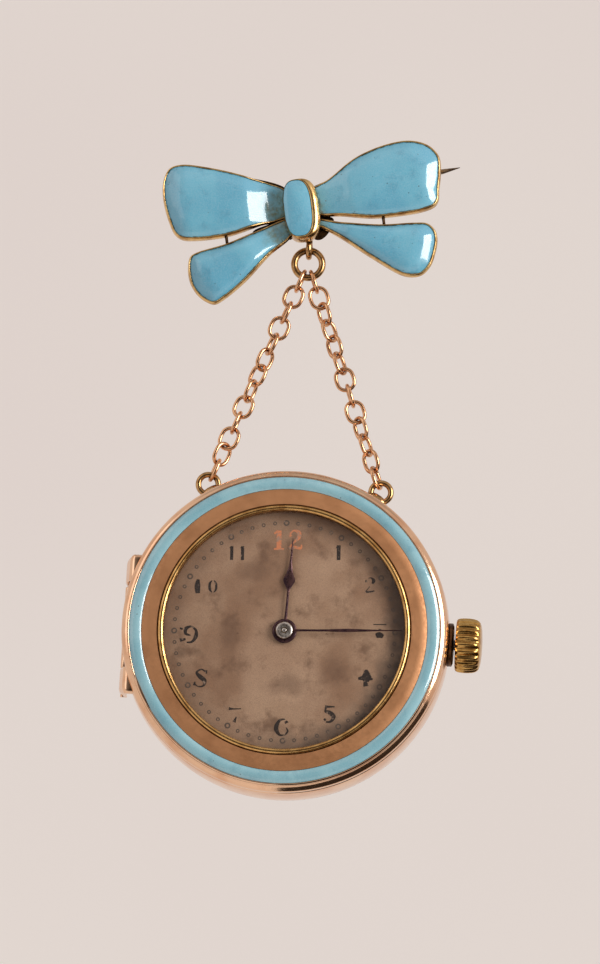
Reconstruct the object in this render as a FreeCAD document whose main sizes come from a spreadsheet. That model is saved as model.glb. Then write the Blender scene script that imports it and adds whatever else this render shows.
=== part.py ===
import FreeCAD, Part
import math
import os
import Sketcher

# A lady's fob watch. An enamelled bow brooch carries a jump ring, the ring carries a V of two
# chains, and the chains carry an open-face watch by two eyelets on its case.
# The frame: Z up, the dial faces -Y, 3 o'clock towards +X. The origin is on the brooch pin,
# behind the knot. Watch pieces are drawn about the watch's centre and then moved to it.

SIZES = {
    # brooch
    "bow_tilt": 10.0,
    "bow_back": -1.4,
    "ribbon_thick": 0.9,
    "rim_wire": 0.3,
    "cell_deep": 0.35,
    "puff": 0.45,
    "puff_sphere": 34.0,
    "knot_x": 0.19,
    "knot_z": -1.08,
    "knot_thick": 2.0,
    "knot_half_wide": 1.6,
    "knot_half_tall": 2.7,
    "strut_wide": 0.4,
    "strut_tall": 1.6,
    "strut_thick": 0.5,
    # brooch pin
    "pin_tilt": 6.1,
    "pin_wire": 0.215,
    "pin_hinge_x": -9.5,
    "pin_tip_x": 14.3,
    "pin_point": 1.5,
    "pin_eye": 0.55,
    "pin_eye_half": 0.4,
    "ear_thick": 0.35,
    "rivet": 0.2,
    "pivot_play": 0.03,
    "catch_x": 10.5,
    "catch_half": 0.7,
    "slot_half": 0.26,
    # hanging rings
    "hang_y": -0.3,
    "watch_x": 1.19,
    "watch_z": -37.78,
    "ring_rise": 32.5,
    "ring_mean": 1.2,
    "ring_wire": 0.3,
    "eye_mean": 0.7,
    "eye_wire": 0.25,
    "eyelet_mean": 0.85,
    "eyelet_wire": 0.25,
    "eyelet_x": 7.4,
    "eyelet_z": 12.75,
    # chain
    "chain_levels": 13,
    "link_wire": 0.17,
    "link_half_wide": 0.925,
    "link_play": 0.04,
    # case
    "case_radius": 14.0,
    "case_front": -1.6,
    "case_rear": 2.4,
    "case_bore": 10.6,
    "dial_seat": -1.33,
    "plate_seat": -0.82,
    "seat_radius": 10.1,
    "shell_gap": 0.02,
    "bezel_radius": 13.86,
    "bezel_front": -3.02,
    "glass_opening": 10.25,
    "matte_inner": 10.8,
    "matte_outer": 12.15,
    "enamel_outer": 13.2,
    "enamel_floor": -2.3,
    "enamel_puff": 0.12,
    "glass_radius": 10.5,
    "glass_sphere": 55.6,
    "glass_thick": 0.28,
    "glass_top": -3.62,
    "back_flat": 6.0,
    "back_end": 3.5,
    "back_wall": 0.35,
    # case hinge at 9 o'clock
    "hinge_x": -13.6,
    "hinge_y": 0.4,
    "knuckle": 0.42,
    "hinge_pin": 0.2,
    "hinge_half": 6.0,
    "hinge_flat": -13.1,
    # crown and stem at 3 o'clock
    "stem_y": 0.8,
    "stem": 0.45,
    "stem_bore": 0.5,
    "tube_radius": 1.85,
    "tube_start": 13.6,
    "tube_end": 14.3,
    "crown_radius": 2.35,
    "crown_start": 14.5,
    "crown_end": 16.75,
    "flute": 0.17,
    "flutes": 22,
    "stem_start": 6.3,
    # dial and hands
    "dial_radius": 10.4,
    "dial_front": -1.65,
    "dial_hole": 0.75,
    "hour_hand_length": 8.1,
    "minute_hand_length": 10.0,
    "hand_thick": 0.09,
    "hour_hand_y": -2.0,
    "minute_hand_y": -2.3,
    # movement
    "plate_radius": 10.5,
    "plate_front": -0.8,
    "plate_rear": 0.1,
    "bridge_radius": 10.2,
    "bridge_front": 1.3,
    "bridge_rear": 2.0,
    "cock_rear": 2.45,
    "pillar": 0.7,
    "screw": 0.25,
    "screw_head": 0.5,
    "pivot": 0.12,
    "barrel_radius": 4.2,
    "barrel_front": 0.15,
    "barrel_rear": 1.0,
    "barrel_wall": 0.25,
    "arbor": 0.6,
    "balance_radius": 2.9,
    "balance_opening": 3.15,
    "stem_window": 1.3,
}

V = FreeCAD.Vector
X_AXIS = V(1, 0, 0)
Y_AXIS = V(0, 1, 0)
Z_AXIS = V(0, 0, 1)

# Gears: number of teeth and module.
CENTRE_WHEEL = (64, 0.11)
THIRD_PINION = (8, 0.11)
THIRD_WHEEL = (60, 0.10)
FOURTH_PINION = (8, 0.10)
FOURTH_WHEEL = (60, 0.09)
ESCAPE_PINION = (6, 0.09)
BARREL_TEETH = (72, 0.125)
CENTRE_PINION = (12, 0.125)
RATCHET = (40, 0.16)
CROWN_TEETH = (31, 0.16)
WINDING = (14, 0.16)
CANNON = (12, 0.12)
MINUTE_WHEEL = (36, 0.12)
MINUTE_PINION = (10, 0.1152)
HOUR_WHEEL = (40, 0.1152)
ESCAPE_TEETH = 15
ESCAPE_RADIUS = 1.4

# Outlines of the bow's ribbons about the knot's centre, with the bow level.
LEFT_LOOP = [
    (-1.2, 1.7), (-4.75, 3.58), (-7.26, 4.38), (-9.4, 4.88), (-10.8, 4.6), (-11.5, 3.2),
    (-11.44, 1.2), (-10.95, -0.8), (-9.67, -1.54), (-7.96, -1.74), (-5.34, -1.56), (-1.2, -0.3),
]
RIGHT_LOOP = [
    (1.2, 1.85), (4.77, 3.45), (6.59, 4.19), (8.38, 4.64), (10.12, 4.7), (11.6, 4.2),
    (12.35, 2.9), (12.29, 0.94), (11.8, -0.95), (10.26, -1.65), (8.5, -1.84), (6.79, -1.68),
    (4.25, -1.13), (1.2, -0.35),
]
LEFT_TAIL = [
    (-1.2, -0.95), (-4.5, -1.87), (-6.73, -2.4), (-9.2, -2.72), (-10.1, -3.3), (-10.15, -4.9),
    (-9.4, -6.75), (-8.44, -7.42), (-7.0, -6.95), (-3.97, -4.75), (-1.2, -2.3),
]
RIGHT_TAIL = [
    (1.2, -0.9), (4.19, -1.65), (6.73, -2.15), (9.7, -2.42), (11.0, -2.9), (11.33, -4.33),
    (10.75, -6.0), (9.48, -6.98), (8.1, -6.88), (6.31, -5.84), (3.93, -3.92), (1.2, -1.3),
]
STRUTS = [(-6.66, -2.1), (7.06, -1.97)]

doc = FreeCAD.newDocument("fob_watch")
sheet = doc.addObject("Spreadsheet::Sheet", "sizes")
nodes = []


def fill_sheet():
    """Writes every driving dimension to the sheet, its name beside it."""
    for row, (name, size) in enumerate(SIZES.items(), 1):
        sheet.set(f"A{row}", name)
        sheet.set(f"B{row}", str(size))
        sheet.setAlias(f"B{row}", name)
    doc.recompute()


def number(total_of):
    """The value of a sum such as 'case_radius - back_wall + 0.1'."""
    total = 0.0
    sign = 1.0
    for word in total_of.split():
        if word in ("+", "-"):
            sign = 1.0 if word == "+" else -1.0
        else:
            total += sign * (float(sheet.get(word)) if word in SIZES else float(word))
            sign = 1.0
    return total


def formula(total_of):
    """The same sum as an expression on the sheet's cells."""
    words = total_of.split()
    return " ".join("sizes." + word if word in SIZES else word for word in words)


def bind(thing, **sums):
    """Binds an object's properties to sums of sheet cells."""
    for name, total_of in sums.items():
        thing.setExpression(name, formula(total_of))
    return thing


def place(thing, x, y, z, turn=None):
    """Puts an object at a point given as sums, turned if need be."""
    corner = V(number(x), number(y), number(z))
    thing.Placement = FreeCAD.Placement(corner, turn or FreeCAD.Rotation())
    for letter, total_of in zip("xyz", (x, y, z)):
        thing.setExpression("Placement.Base." + letter, formula(total_of))
    return thing


def at_watch(thing, y="0", spot=(0.0, 0.0), turn=None):
    """Moves a piece to its (x, z) spot and depth in the watch."""
    x, z = (f" + {step:.6f}" for step in spot)
    return place(thing, "watch_x" + x, "hang_y + " + y, "watch_z" + z, turn)


def at_knot(thing):
    """Moves a piece drawn about the knot, with the bow level, to its place."""
    return place(thing, "knot_x", "0", "knot_z", FreeCAD.Rotation(Y_AXIS, -number("bow_tilt")))


def at_pin(thing):
    """Turns a piece drawn along the pin as the pin lies."""
    tilt = number("bow_tilt + pin_tilt")
    return place(thing, "0", "0", "0", FreeCAD.Rotation(Y_AXIS, -tilt))


def node(thing, name):
    """Names a finished sub-part, which is then written to its own file."""
    thing.Label = name
    nodes.append(thing)
    return thing


def shaped(name, shape):
    """A sub-part whose shape is worked out here."""
    thing = doc.addObject("Part::Feature", name)
    thing.Shape = shape
    return thing


# ---------------------------------------------------------------- PartDesign helpers

def origin_plane(body, role):
    return next(item for item in body.Origin.OriginFeatures if item.Role == role)


def new_sketch(body, role, name):
    sketch = body.newObject("Sketcher::SketchObject", name)
    sketch.AttachmentSupport = [(origin_plane(body, role), "")]
    sketch.MapMode = "FlatFace"
    return sketch


def pin_point(sketch, line, across, up):
    """Fixes the start of a sketch line at two sums."""
    for kind, total_of in (("DistanceX", across), ("DistanceY", up)):
        rule = Sketcher.Constraint(kind, -1, 1, line, 1, number(total_of))
        index = sketch.addConstraint(rule)
        sketch.setExpression(f"Constraints[{index}]", formula(total_of))


def closed_outline(sketch, corners):
    """A closed outline through corners given as pairs of sums."""
    points = [V(number(across), number(up), 0) for across, up in corners]
    count = len(points)
    for i in range(count):
        sketch.addGeometry(Part.LineSegment(points[i], points[(i + 1) % count]))
    for i in range(count):
        sketch.addConstraint(Sketcher.Constraint("Coincident", i, 2, (i + 1) % count, 1))
    for i, (across, up) in enumerate(corners):
        pin_point(sketch, i, across, up)


def turned(name, corners, axis="V_Axis"):
    """A body turned about the Y axis from (radius, depth), or about X from (depth, radius)."""
    body = doc.addObject("PartDesign::Body", name)
    sketch = new_sketch(body, "XY_Plane", name + "_profile")
    closed_outline(sketch, corners)
    turn = body.newObject("PartDesign::Revolution", name + "_turned")
    turn.Profile = sketch
    turn.ReferenceAxis = (sketch, [axis])
    turn.Angle = 360
    return body


def cut_through(body, sketch, name):
    """Cuts a sketch right through a body, and checks that it removed material."""
    doc.recompute()
    before = body.Shape.Volume
    pocket = body.newObject("PartDesign::Pocket", name)
    pocket.Profile = sketch
    pocket.Type = "ThroughAll"
    pocket.SideType = "Symmetric"
    doc.recompute()
    assert body.Shape.Volume < before, name + " cuts nothing"
    return pocket


def drilled(body, holes, name):
    """Drills holes along Y: (x, z, radius), the radius a sum."""
    sketch = new_sketch(body, "XZ_Plane", name + "_centres")
    for i, (x, z, radius) in enumerate(holes):
        sketch.addGeometry(Part.Circle(V(x, z, 0), V(0, 0, 1), number(radius)))
        index = sketch.addConstraint(Sketcher.Constraint("Radius", i, number(radius)))
        sketch.setExpression(f"Constraints[{index}]", formula(radius))
        sketch.addConstraint(Sketcher.Constraint("DistanceX", -1, 1, i, 3, x))
        sketch.addConstraint(Sketcher.Constraint("DistanceY", -1, 1, i, 3, z))
    cut_through(body, sketch, name)


def windowed(body, corners, name):
    """Cuts a four-cornered window along Y."""
    sketch = new_sketch(body, "XZ_Plane", name + "_outline")
    closed_outline(sketch, corners)
    cut_through(body, sketch, name)


# ---------------------------------------------------------------- plain shape helpers

def prism(points, front, depth):
    """A straight prism on a closed (x, z) outline, from the depth `front` backwards."""
    ring = [V(x, front, z) for x, z in points]
    return Part.Face(Part.makePolygon(ring + ring[:1])).extrude(V(0, depth, 0))


def disc(radius, front, depth, x=0.0, z=0.0):
    return Part.makeCylinder(radius, depth, V(x, front, z), Y_AXIS)


def tube(outer, inner, front, depth, x=0.0, z=0.0):
    return disc(outer, front, depth, x, z).cut(disc(inner, front, depth, x, z))


def smooth_curve(points, front):
    """A smooth closed curve through (x, z) points at one depth."""
    curve = Part.BSplineCurve()
    curve.interpolate([V(x, front, z) for x, z in points], PeriodicFlag=True)
    return curve


def drawn_in(points, inset):
    """Points all along the curve through `points`, moved inwards by `inset`."""
    curve = smooth_curve(points, 0)
    ring = zip(points, points[1:] + points[:1])
    turning = sum(a[0] * b[1] - b[0] * a[1] for a, b in ring)
    side = inset if turning > 0 else -inset
    count = 4 * len(points)
    inner = []
    for i in range(count):
        at = curve.LastParameter * i / count
        spot = curve.value(at)
        along = curve.tangent(at)[0]
        inner.append((spot.x - side * along.z, spot.z + side * along.x))
    return inner


def spline_face(points, front, inset=0.0):
    """A face inside a smooth closed curve through (x, z) points, drawn in by `inset`."""
    curve = smooth_curve(drawn_in(points, inset) if inset else points, front)
    return Part.Face(Part.Wire(curve.toShape()))


def stadium_face(half_wide, half_tall, front):
    """An upright oblong with round ends."""
    rise = half_tall - half_wide
    corners = [V(half_wide, front, -rise), V(half_wide, front, rise)]
    corners += [V(-half_wide, front, rise), V(-half_wide, front, -rise)]
    edges = [
        Part.LineSegment(corners[0], corners[1]),
        Part.Arc(corners[1], V(0, front, half_tall), corners[2]),
        Part.LineSegment(corners[2], corners[3]),
        Part.Arc(corners[3], V(0, front, -half_tall), corners[0]),
    ]
    return Part.Face(Part.Wire([edge.toShape() for edge in edges]))


def gear(size, front, depth, phase=0.0):
    """A gear disc with straight-flanked teeth, one of them at the angle `phase`."""
    teeth, module = size
    radius = teeth * module / 2
    step = 2 * math.pi / teeth
    points = []
    for tooth in range(teeth):
        middle = math.radians(phase) + tooth * step
        for offset, reach in ((-0.29, -1.2), (-0.11, 0.9), (0.11, 0.9), (0.29, -1.2)):
            angle = middle + offset * step
            r = radius + reach * module
            points.append((r * math.cos(angle), r * math.sin(angle)))
    return prism(points, front, depth)


def spoked(shape, rim, hub, front, depth, arms):
    """Opens a wheel between its rim and hub, leaving straight arms."""
    window = tube(rim, hub, front, depth)
    for arm in range(arms):
        bar = Part.makeBox(rim, depth, 0.3, V(0, front, -0.15))
        bar.rotate(V(0, 0, 0), Y_AXIS, 360.0 * arm / arms)
        window = window.cut(bar)
    return shape.cut(window)


def staff(radius, front, rear, pivot_front, pivot_rear):
    """An arbor with a thinner pivot at each end."""
    body = disc(radius, front, rear - front)
    pivot = number("pivot")
    return body.fuse(disc(pivot, pivot_front, pivot_rear - pivot_front))


def spiral(inner, outer, turns, thick, front, depth):
    """A flat strip wound in a spiral."""
    per_turn = 28
    count = turns * per_turn
    inside = []
    outside = []
    for i in range(count + 1):
        angle = 2 * math.pi * i / per_turn
        r = inner + (outer - inner) * i / count
        for side, points in ((-thick / 2, inside), (thick / 2, outside)):
            points.append(((r + side) * math.cos(angle), (r + side) * math.sin(angle)))
    return prism(inside + outside[::-1], front, depth)


def step_from(start, distance, degrees):
    angle = math.radians(degrees)
    return (start[0] + distance * math.cos(angle), start[1] + distance * math.sin(angle))


def mesh_distance(first, second):
    return (first[0] * first[1] + second[0] * second[1]) / 2


fill_sheet()

# Where the wheels stand, about the watch's centre.
CENTRE = (0.0, 0.0)
THIRD = step_from(CENTRE, mesh_distance(CENTRE_WHEEL, THIRD_PINION), 180)
FOURTH = step_from(THIRD, mesh_distance(THIRD_WHEEL, FOURTH_PINION), -75)
ESCAPE = step_from(FOURTH, mesh_distance(FOURTH_WHEEL, ESCAPE_PINION), -70)
BARREL = step_from(CENTRE, mesh_distance(BARREL_TEETH, CENTRE_PINION), 64)
MINUTE = step_from(CENTRE, mesh_distance(CANNON, MINUTE_WHEEL), -60)
BALANCE = (3.3, -6.0)
PALLET = (-0.1, -6.5)
RISE = BARREL[1]
CROWN_WHEEL = (BARREL[0] + math.sqrt(mesh_distance(RATCHET, CROWN_TEETH) ** 2 - RISE ** 2), 0.0)
PILLARS = [(8.3, 4.0), (-5.5, 6.5), (-8.2, -3.6), (-5.4, -7.3), (7.9, -2.7)]
COCK_FOOT = (-0.6, -4.1)


# ---------------------------------------------------------------- brooch

def knot_blank():
    face = stadium_face(number("knot_half_wide"), number("knot_half_tall"), number("bow_back"))
    return face.extrude(V(0, -number("knot_thick"), 0))


def cell(outline_face, front, puff):
    """Enamel that fills a cell from its floor and stands proud in a low dome."""
    fill = outline_face.extrude(V(0, -number("cell_deep") - puff, 0))
    radius = number("puff_sphere")
    middle = fill.BoundBox.Center
    dome = Part.makeSphere(radius, V(middle.x, front - puff + radius, middle.z))
    return fill.common(dome)


def strut(spot):
    """A short bar that joins a loop to the tail below it."""
    wide = number("strut_wide")
    tall = number("strut_tall")
    thick = number("strut_thick")
    corner = V(spot[0] - wide / 2, number("bow_back") - thick, spot[1] - tall / 2)
    return Part.makeBox(wide, thick, tall, corner)


def make_ribbons():
    """Two loops and two tails: gold plates with raised rims round cells of enamel."""
    back = number("bow_back")
    front = back - number("ribbon_thick")
    floor = front + number("cell_deep")
    knot = knot_blank()
    pairs = (("left", LEFT_LOOP, LEFT_TAIL, STRUTS[0]), ("right", RIGHT_LOOP, RIGHT_TAIL, STRUTS[1]))
    enamels = []
    for side, loop, tail, spot in pairs:
        above = spline_face(loop, back).extrude(V(0, front - back, 0)).cut(knot)
        for kind, points in (("loop", loop), ("tail", tail)):
            blank = spline_face(points, back).extrude(V(0, front - back, 0))
            if kind == "tail":
                blank = blank.fuse(strut(spot)).cut(above)
            inner = spline_face(points, floor, number("rim_wire"))
            hollow = inner.extrude(V(0, -number("cell_deep"), 0))
            enamels.append(cell(inner, front, number("puff")).cut(knot))
            name = f"bow_{side}_{kind}"
            at_knot(node(shaped(name, blank.cut(hollow).cut(knot)), name))
    at_knot(node(shaped("ribbon_cells", Part.makeCompound(enamels)), "bow_ribbon_enamel"))


def make_knot():
    rim = number("rim_wire")
    front = number("bow_back - knot_thick")
    floor = front + number("cell_deep")
    half_wide = number("knot_half_wide") - 1.4 * rim
    half_tall = number("knot_half_tall") - rim / 2
    inner = stadium_face(half_wide, half_tall, floor)
    hollow = inner.extrude(V(0, -number("cell_deep"), 0))
    enamel = inner.extrude(V(0, -number("cell_deep") - 0.15, 0))
    at_knot(node(shaped("knot", knot_blank().cut(hollow)), "bow_knot"))
    at_knot(node(shaped("knot_enamel", enamel), "bow_knot_enamel"))


def make_pin_hinge():
    """A bracket of two ears soldered to the back of the left loop."""
    x = number("pin_hinge_x")
    back = number("bow_back")
    eye = number("pin_eye")
    inside = number("pin_eye_half") + 0.05
    ear = number("ear_thick")
    outside = inside + ear
    base = Part.makeBox(2.4, 0.3, 2 * outside, V(x - 1.2, back, -outside))
    bracket = base
    for low in (-outside, inside):
        rise = Part.makeBox(2 * eye, -back, ear, V(x - eye, back, low))
        end = Part.makeCylinder(eye, ear, V(x, 0, low), Z_AXIS)
        bracket = bracket.fuse(rise).fuse(end)
    bore = Part.makeCylinder(number("rivet"), 4 * outside, V(x, 0, -2 * outside), Z_AXIS)
    at_pin(node(shaped("hinge", bracket.cut(bore).removeSplitter()), "pin_hinge"))
    shank = Part.makeCylinder(number("rivet"), 2 * outside, V(x, 0, -outside), Z_AXIS)
    for low in (-outside - 0.15, outside):
        shank = shank.fuse(Part.makeCylinder(0.36, 0.15, V(x, 0, low), Z_AXIS))
    at_pin(node(shaped("rivet_shank", shank), "pin_rivet"))


def make_pin_stem():
    """The sharp stem, with a flat eye that turns on the rivet."""
    x = number("pin_hinge_x")
    wire = number("pin_wire")
    point = number("pin_point")
    length = number("pin_tip_x") - x - point
    rod = Part.makeCylinder(wire, length, V(x, 0, 0), X_AXIS)
    tip = Part.makeCone(wire, 0.03, point, V(x + length, 0, 0), X_AXIS)
    half = number("pin_eye_half")
    eye = Part.makeCylinder(number("pin_eye"), 2 * half, V(x, 0, -half), Z_AXIS)
    bore = Part.makeCylinder(number("rivet + pivot_play"), 2 * half, V(x, 0, -half), Z_AXIS)
    stem = rod.fuse(tip).fuse(eye).cut(bore).removeSplitter()
    at_pin(node(shaped("stem", stem), "pin_stem"))


def make_pin_catch():
    """A block on the back of the right loop with a slot, open at the back, for the stem."""
    half = number("catch_half")
    back = number("bow_back")
    slot = number("slot_half")
    block = Part.makeBox(2 * half, 0.35 - back, 1.3, V(number("catch_x") - half, back, -0.65))
    groove = Part.makeBox(4 * half, 2.0, 2 * slot, V(number("catch_x") - 2 * half, -slot, -slot))
    at_pin(node(shaped("catch", block.cut(groove)), "pin_catch"))


def eye_height():
    """Height of the drop eye's lowest wire centre, where the jump ring turns."""
    ring_hole = number("ring_mean - ring_wire")
    return number("watch_z + ring_rise") + ring_hole - number("eye_wire") - 0.03


def make_drop_eye():
    """A small upright ring behind the foot of the knot, on a soldered foot."""
    x = number("watch_x")
    y = number("hang_y")
    z = eye_height() + number("eye_mean")
    ring = Part.makeTorus(number("eye_mean"), number("eye_wire"), V(x, y, z), X_AXIS)
    back = number("bow_back")
    foot = Part.makeBox(0.6, 0.45, 1.0, V(x - 0.3, back, z + 0.4))
    node(shaped("eye", ring.fuse(foot)), "drop_eye")


# ---------------------------------------------------------------- rings and chain

def ring_part(name, mean, wire):
    """A round ring of round wire, standing upright and facing the front."""
    ring = doc.addObject("Part::Torus", name)
    return bind(ring, Radius1=mean, Radius2=wire)


def make_jump_ring():
    ring = ring_part("ring", "ring_mean", "ring_wire")
    facing = FreeCAD.Rotation(X_AXIS, 90)
    place(ring, "watch_x", "hang_y", "watch_z + ring_rise", facing)
    node(ring, "jump_ring")


def fitted_to_case(name, piece):
    """Cuts a piece, drawn about the watch's centre, so that it sits on the case's side."""
    outline = bind(doc.addObject("Part::Cylinder", name + "_fit"), Radius="case_radius")
    outline.Height = 8
    place(outline, "0", "4", "0", FreeCAD.Rotation(X_AXIS, 90))
    cut = doc.addObject("Part::Cut", name)
    cut.Base = piece
    cut.Tool = outline
    return cut


def make_eyelets():
    """Two rings soldered to the case, one for each chain."""
    rings = []
    for side, sign in (("left", "- eyelet_x"), ("right", "+ eyelet_x")):
        ring = ring_part("eyelet_" + side, "eyelet_mean", "eyelet_wire")
        facing = FreeCAD.Rotation(X_AXIS, 90)
        rings.append(place(ring, "0 " + sign, "0", "eyelet_z", facing))
    pair = doc.addObject("Part::Compound", "eyelet_pair")
    pair.Links = rings
    cut = fitted_to_case("eyelets", pair)
    node(at_watch(cut), "case_eyelets")


def chain_measures():
    """Span from ring to eyelet, its lean from plumb, and the pitch of one link."""
    across = number("eyelet_x")
    drop = number("ring_rise - eyelet_z")
    span = math.hypot(across, drop)
    lean = math.degrees(math.atan2(across, drop))
    ends = number("ring_mean - ring_wire") + number("eyelet_mean - eyelet_wire")
    return span, lean, (span - ends) / number("chain_levels")


def one_link():
    """An oval link about its own centre, long along Z, broad along X."""
    wire = number("link_wire")
    bend = number("link_half_wide") - wire
    half_long = (chain_measures()[2] + number("link_play")) / 2 + wire
    rise = half_long - bend
    link = None
    for sign in (1, -1):
        end = Part.makeTorus(bend, wire, V(0, 0, 0), Z_AXIS, -180, 180, 180)
        end.rotate(V(0, 0, 0), X_AXIS, 90 * sign)
        end.translate(V(0, 0, rise * sign))
        side = Part.makeCylinder(wire, 2 * rise, V(bend * sign, 0, -rise), Z_AXIS)
        link = end.fuse(side) if link is None else link.fuse(end).fuse(side)
    return link.removeSplitter()


def link_distance(level):
    """How far a level's link centres are from the jump ring's centre, along the chain."""
    return number("ring_mean - ring_wire") + chain_measures()[2] * (level - 0.5)


def make_chain_level(level, link):
    """The left and right link at one height. Odd levels are edge on, even ones face on."""
    lean = chain_measures()[1]
    top = V(number("watch_x"), number("hang_y"), number("watch_z + ring_rise"))
    pair = []
    for sign in (-1, 1):
        piece = link.copy()
        if level % 2:
            piece.rotate(V(0, 0, 0), Z_AXIS, 90)
        piece.translate(V(0, 0, -link_distance(level)))
        piece.rotate(V(0, 0, 0), Y_AXIS, -lean * sign)
        piece.translate(top)
        pair.append(piece)
    name = f"chain_links_{level:02d}"
    node(shaped(name, Part.makeCompound(pair)), name)


# ---------------------------------------------------------------- case

def knuckle(low, high):
    """A length of hinge barrel at 9 o'clock, bored for the pin."""
    corner = V(number("hinge_x"), number("hinge_y"), low)
    return Part.makeCylinder(number("knuckle"), high - low, corner, Z_AXIS)


def hinge_bore():
    half = number("hinge_half")
    corner = V(number("hinge_x"), number("hinge_y"), -half - 1)
    return Part.makeCylinder(number("hinge_pin"), 2 * half + 2, corner, Z_AXIS)


def box_between(low, high):
    size = [b - a for a, b in zip(low, high)]
    return Part.makeBox(*size, V(*low))


def with_knuckles(name, body, pieces):
    """Joins hinge pieces to a turned body and bores them for the pin."""
    hinge = shaped(name + "_knuckles", Part.makeCompound(pieces))
    joined = doc.addObject("Part::Fuse", name + "_joined")
    joined.Base = body
    joined.Tool = hinge
    bored = doc.addObject("Part::Cut", name)
    bored.Base = joined
    bored.Tool = shaped(name + "_bore", hinge_bore())
    bored.Refine = True
    return bored


def make_case_middle():
    """The band of the case, with a seat for the dial and one for the movement."""
    body = turned("band", [
        ("case_bore - 0.15", "case_front"),
        ("case_radius - 0.14", "case_front"),
        ("case_radius - 0.05", "case_front + 0.5"),
        ("case_radius", "case_front + 1.4"),
        ("case_radius", "case_rear - 1.4"),
        ("case_radius - 0.05", "case_rear - 0.5"),
        ("case_radius - 0.14", "case_rear"),
        ("case_bore", "case_rear"),
        ("case_bore", "plate_seat"),
        ("seat_radius", "plate_seat"),
        ("seat_radius", "dial_seat"),
        ("case_bore - 0.15", "dial_seat"),
    ])
    flat = shaped("hinge_flat", box_between((-15, -2, -6.1), (number("hinge_flat"), 3, 6.1)))
    trimmed = doc.addObject("Part::Cut", "band_flat")
    trimmed.Base = body
    trimmed.Tool = flat
    bore = bind(doc.addObject("Part::Cylinder", "stem_hole"), Radius="stem_bore")
    bore.Height = 8
    place(bore, "8", "stem_y", "0", FreeCAD.Rotation(Y_AXIS, 90))
    opened = doc.addObject("Part::Cut", "band_open")
    opened.Base = trimmed
    opened.Tool = bore
    x = number("hinge_x")
    y = number("hinge_y")
    pieces = []
    for low in (-3.5, 1.3):
        web = box_between((x, y - 0.35, low), (number("hinge_flat + 0.6"), y + 0.35, low + 2.2))
        pieces.append(knuckle(low, low + 2.2).fuse(web))
    node(at_watch(with_knuckles("middle", opened, pieces)), "case_middle")


def make_bezel():
    """The front ring: a bright rim, a matte slope, a channel for enamel and a round edge."""
    body = turned("front_ring", [
        ("case_bore + 0.1", "case_front - shell_gap"),
        ("case_bore + 0.1", "case_front - 0.15"),
        ("glass_opening", "case_front - 0.15"),
        ("glass_opening", "case_front - 0.66"),
        ("glass_radius + 0.03", "case_front - 0.66"),
        ("glass_radius + 0.03", "case_front - 1.08"),
        ("glass_opening", "case_front - 1.08"),
        ("glass_opening", "bezel_front + 0.17"),
        ("glass_opening + 0.12", "bezel_front + 0.03"),
        ("glass_opening + 0.3", "bezel_front"),
        ("matte_inner - 0.08", "bezel_front + 0.06"),
        ("matte_inner", "bezel_front + 0.2"),
        ("matte_outer", "bezel_front + 0.34"),
        ("matte_outer", "enamel_floor - 0.1"),
        ("enamel_outer", "enamel_floor + 0.1"),
        ("enamel_outer", "enamel_floor - 0.25"),
        ("bezel_radius - 0.42", "enamel_floor - 0.14"),
        ("bezel_radius - 0.15", "enamel_floor + 0.1"),
        ("bezel_radius", "enamel_floor + 0.4"),
        ("bezel_radius", "case_front - shell_gap"),
    ])
    x = number("hinge_x")
    front = number("case_front - shell_gap")
    pieces = []
    for low in (-number("hinge_half"), number("hinge_half") - 2.3):
        web = box_between((x - 0.4, front - 0.3, low), (x + 0.4, number("hinge_y"), low + 2.3))
        lug = box_between((x - 0.4, front - 0.4, low), (x + 1.7, front, low + 2.3))
        pieces.append(knuckle(low, low + 2.3).fuse(web).fuse(lug))
    node(at_watch(with_knuckles("front_cover", body, pieces)), "bezel")


def make_bezel_enamel():
    """The blue ring in the bezel's channel, slightly domed across its width."""
    body = turned("blue_ring", [
        ("matte_outer", "enamel_floor - 0.1"),
        ("matte_outer", "enamel_floor - 0.36"),
        ("matte_outer + 0.3", "enamel_floor - 0.36 - enamel_puff"),
        ("enamel_outer - 0.3", "enamel_floor - 0.25 - enamel_puff"),
        ("enamel_outer", "enamel_floor - 0.25"),
        ("enamel_outer", "enamel_floor + 0.1"),
    ])
    node(at_watch(body), "bezel_enamel")


def make_crystal():
    """A domed glass: the part of a thin spherical shell that a disc's outline holds."""
    outer = bind(doc.addObject("Part::Sphere", "dome_outer"), Radius="glass_sphere")
    inner = bind(doc.addObject("Part::Sphere", "dome_inner"), Radius="glass_sphere - glass_thick")
    for dome in (outer, inner):
        place(dome, "0", "glass_top + glass_sphere", "0")
    shell = doc.addObject("Part::Cut", "dome_shell")
    shell.Base = outer
    shell.Tool = inner
    edge = bind(doc.addObject("Part::Cylinder", "glass_outline"), Radius="glass_radius")
    edge.Height = 4
    place(edge, "0", "-1", "0", FreeCAD.Rotation(X_AXIS, 90))
    glass = doc.addObject("Part::Common", "glass")
    glass.Base = shell
    glass.Tool = edge
    node(at_watch(glass), "crystal")


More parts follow.
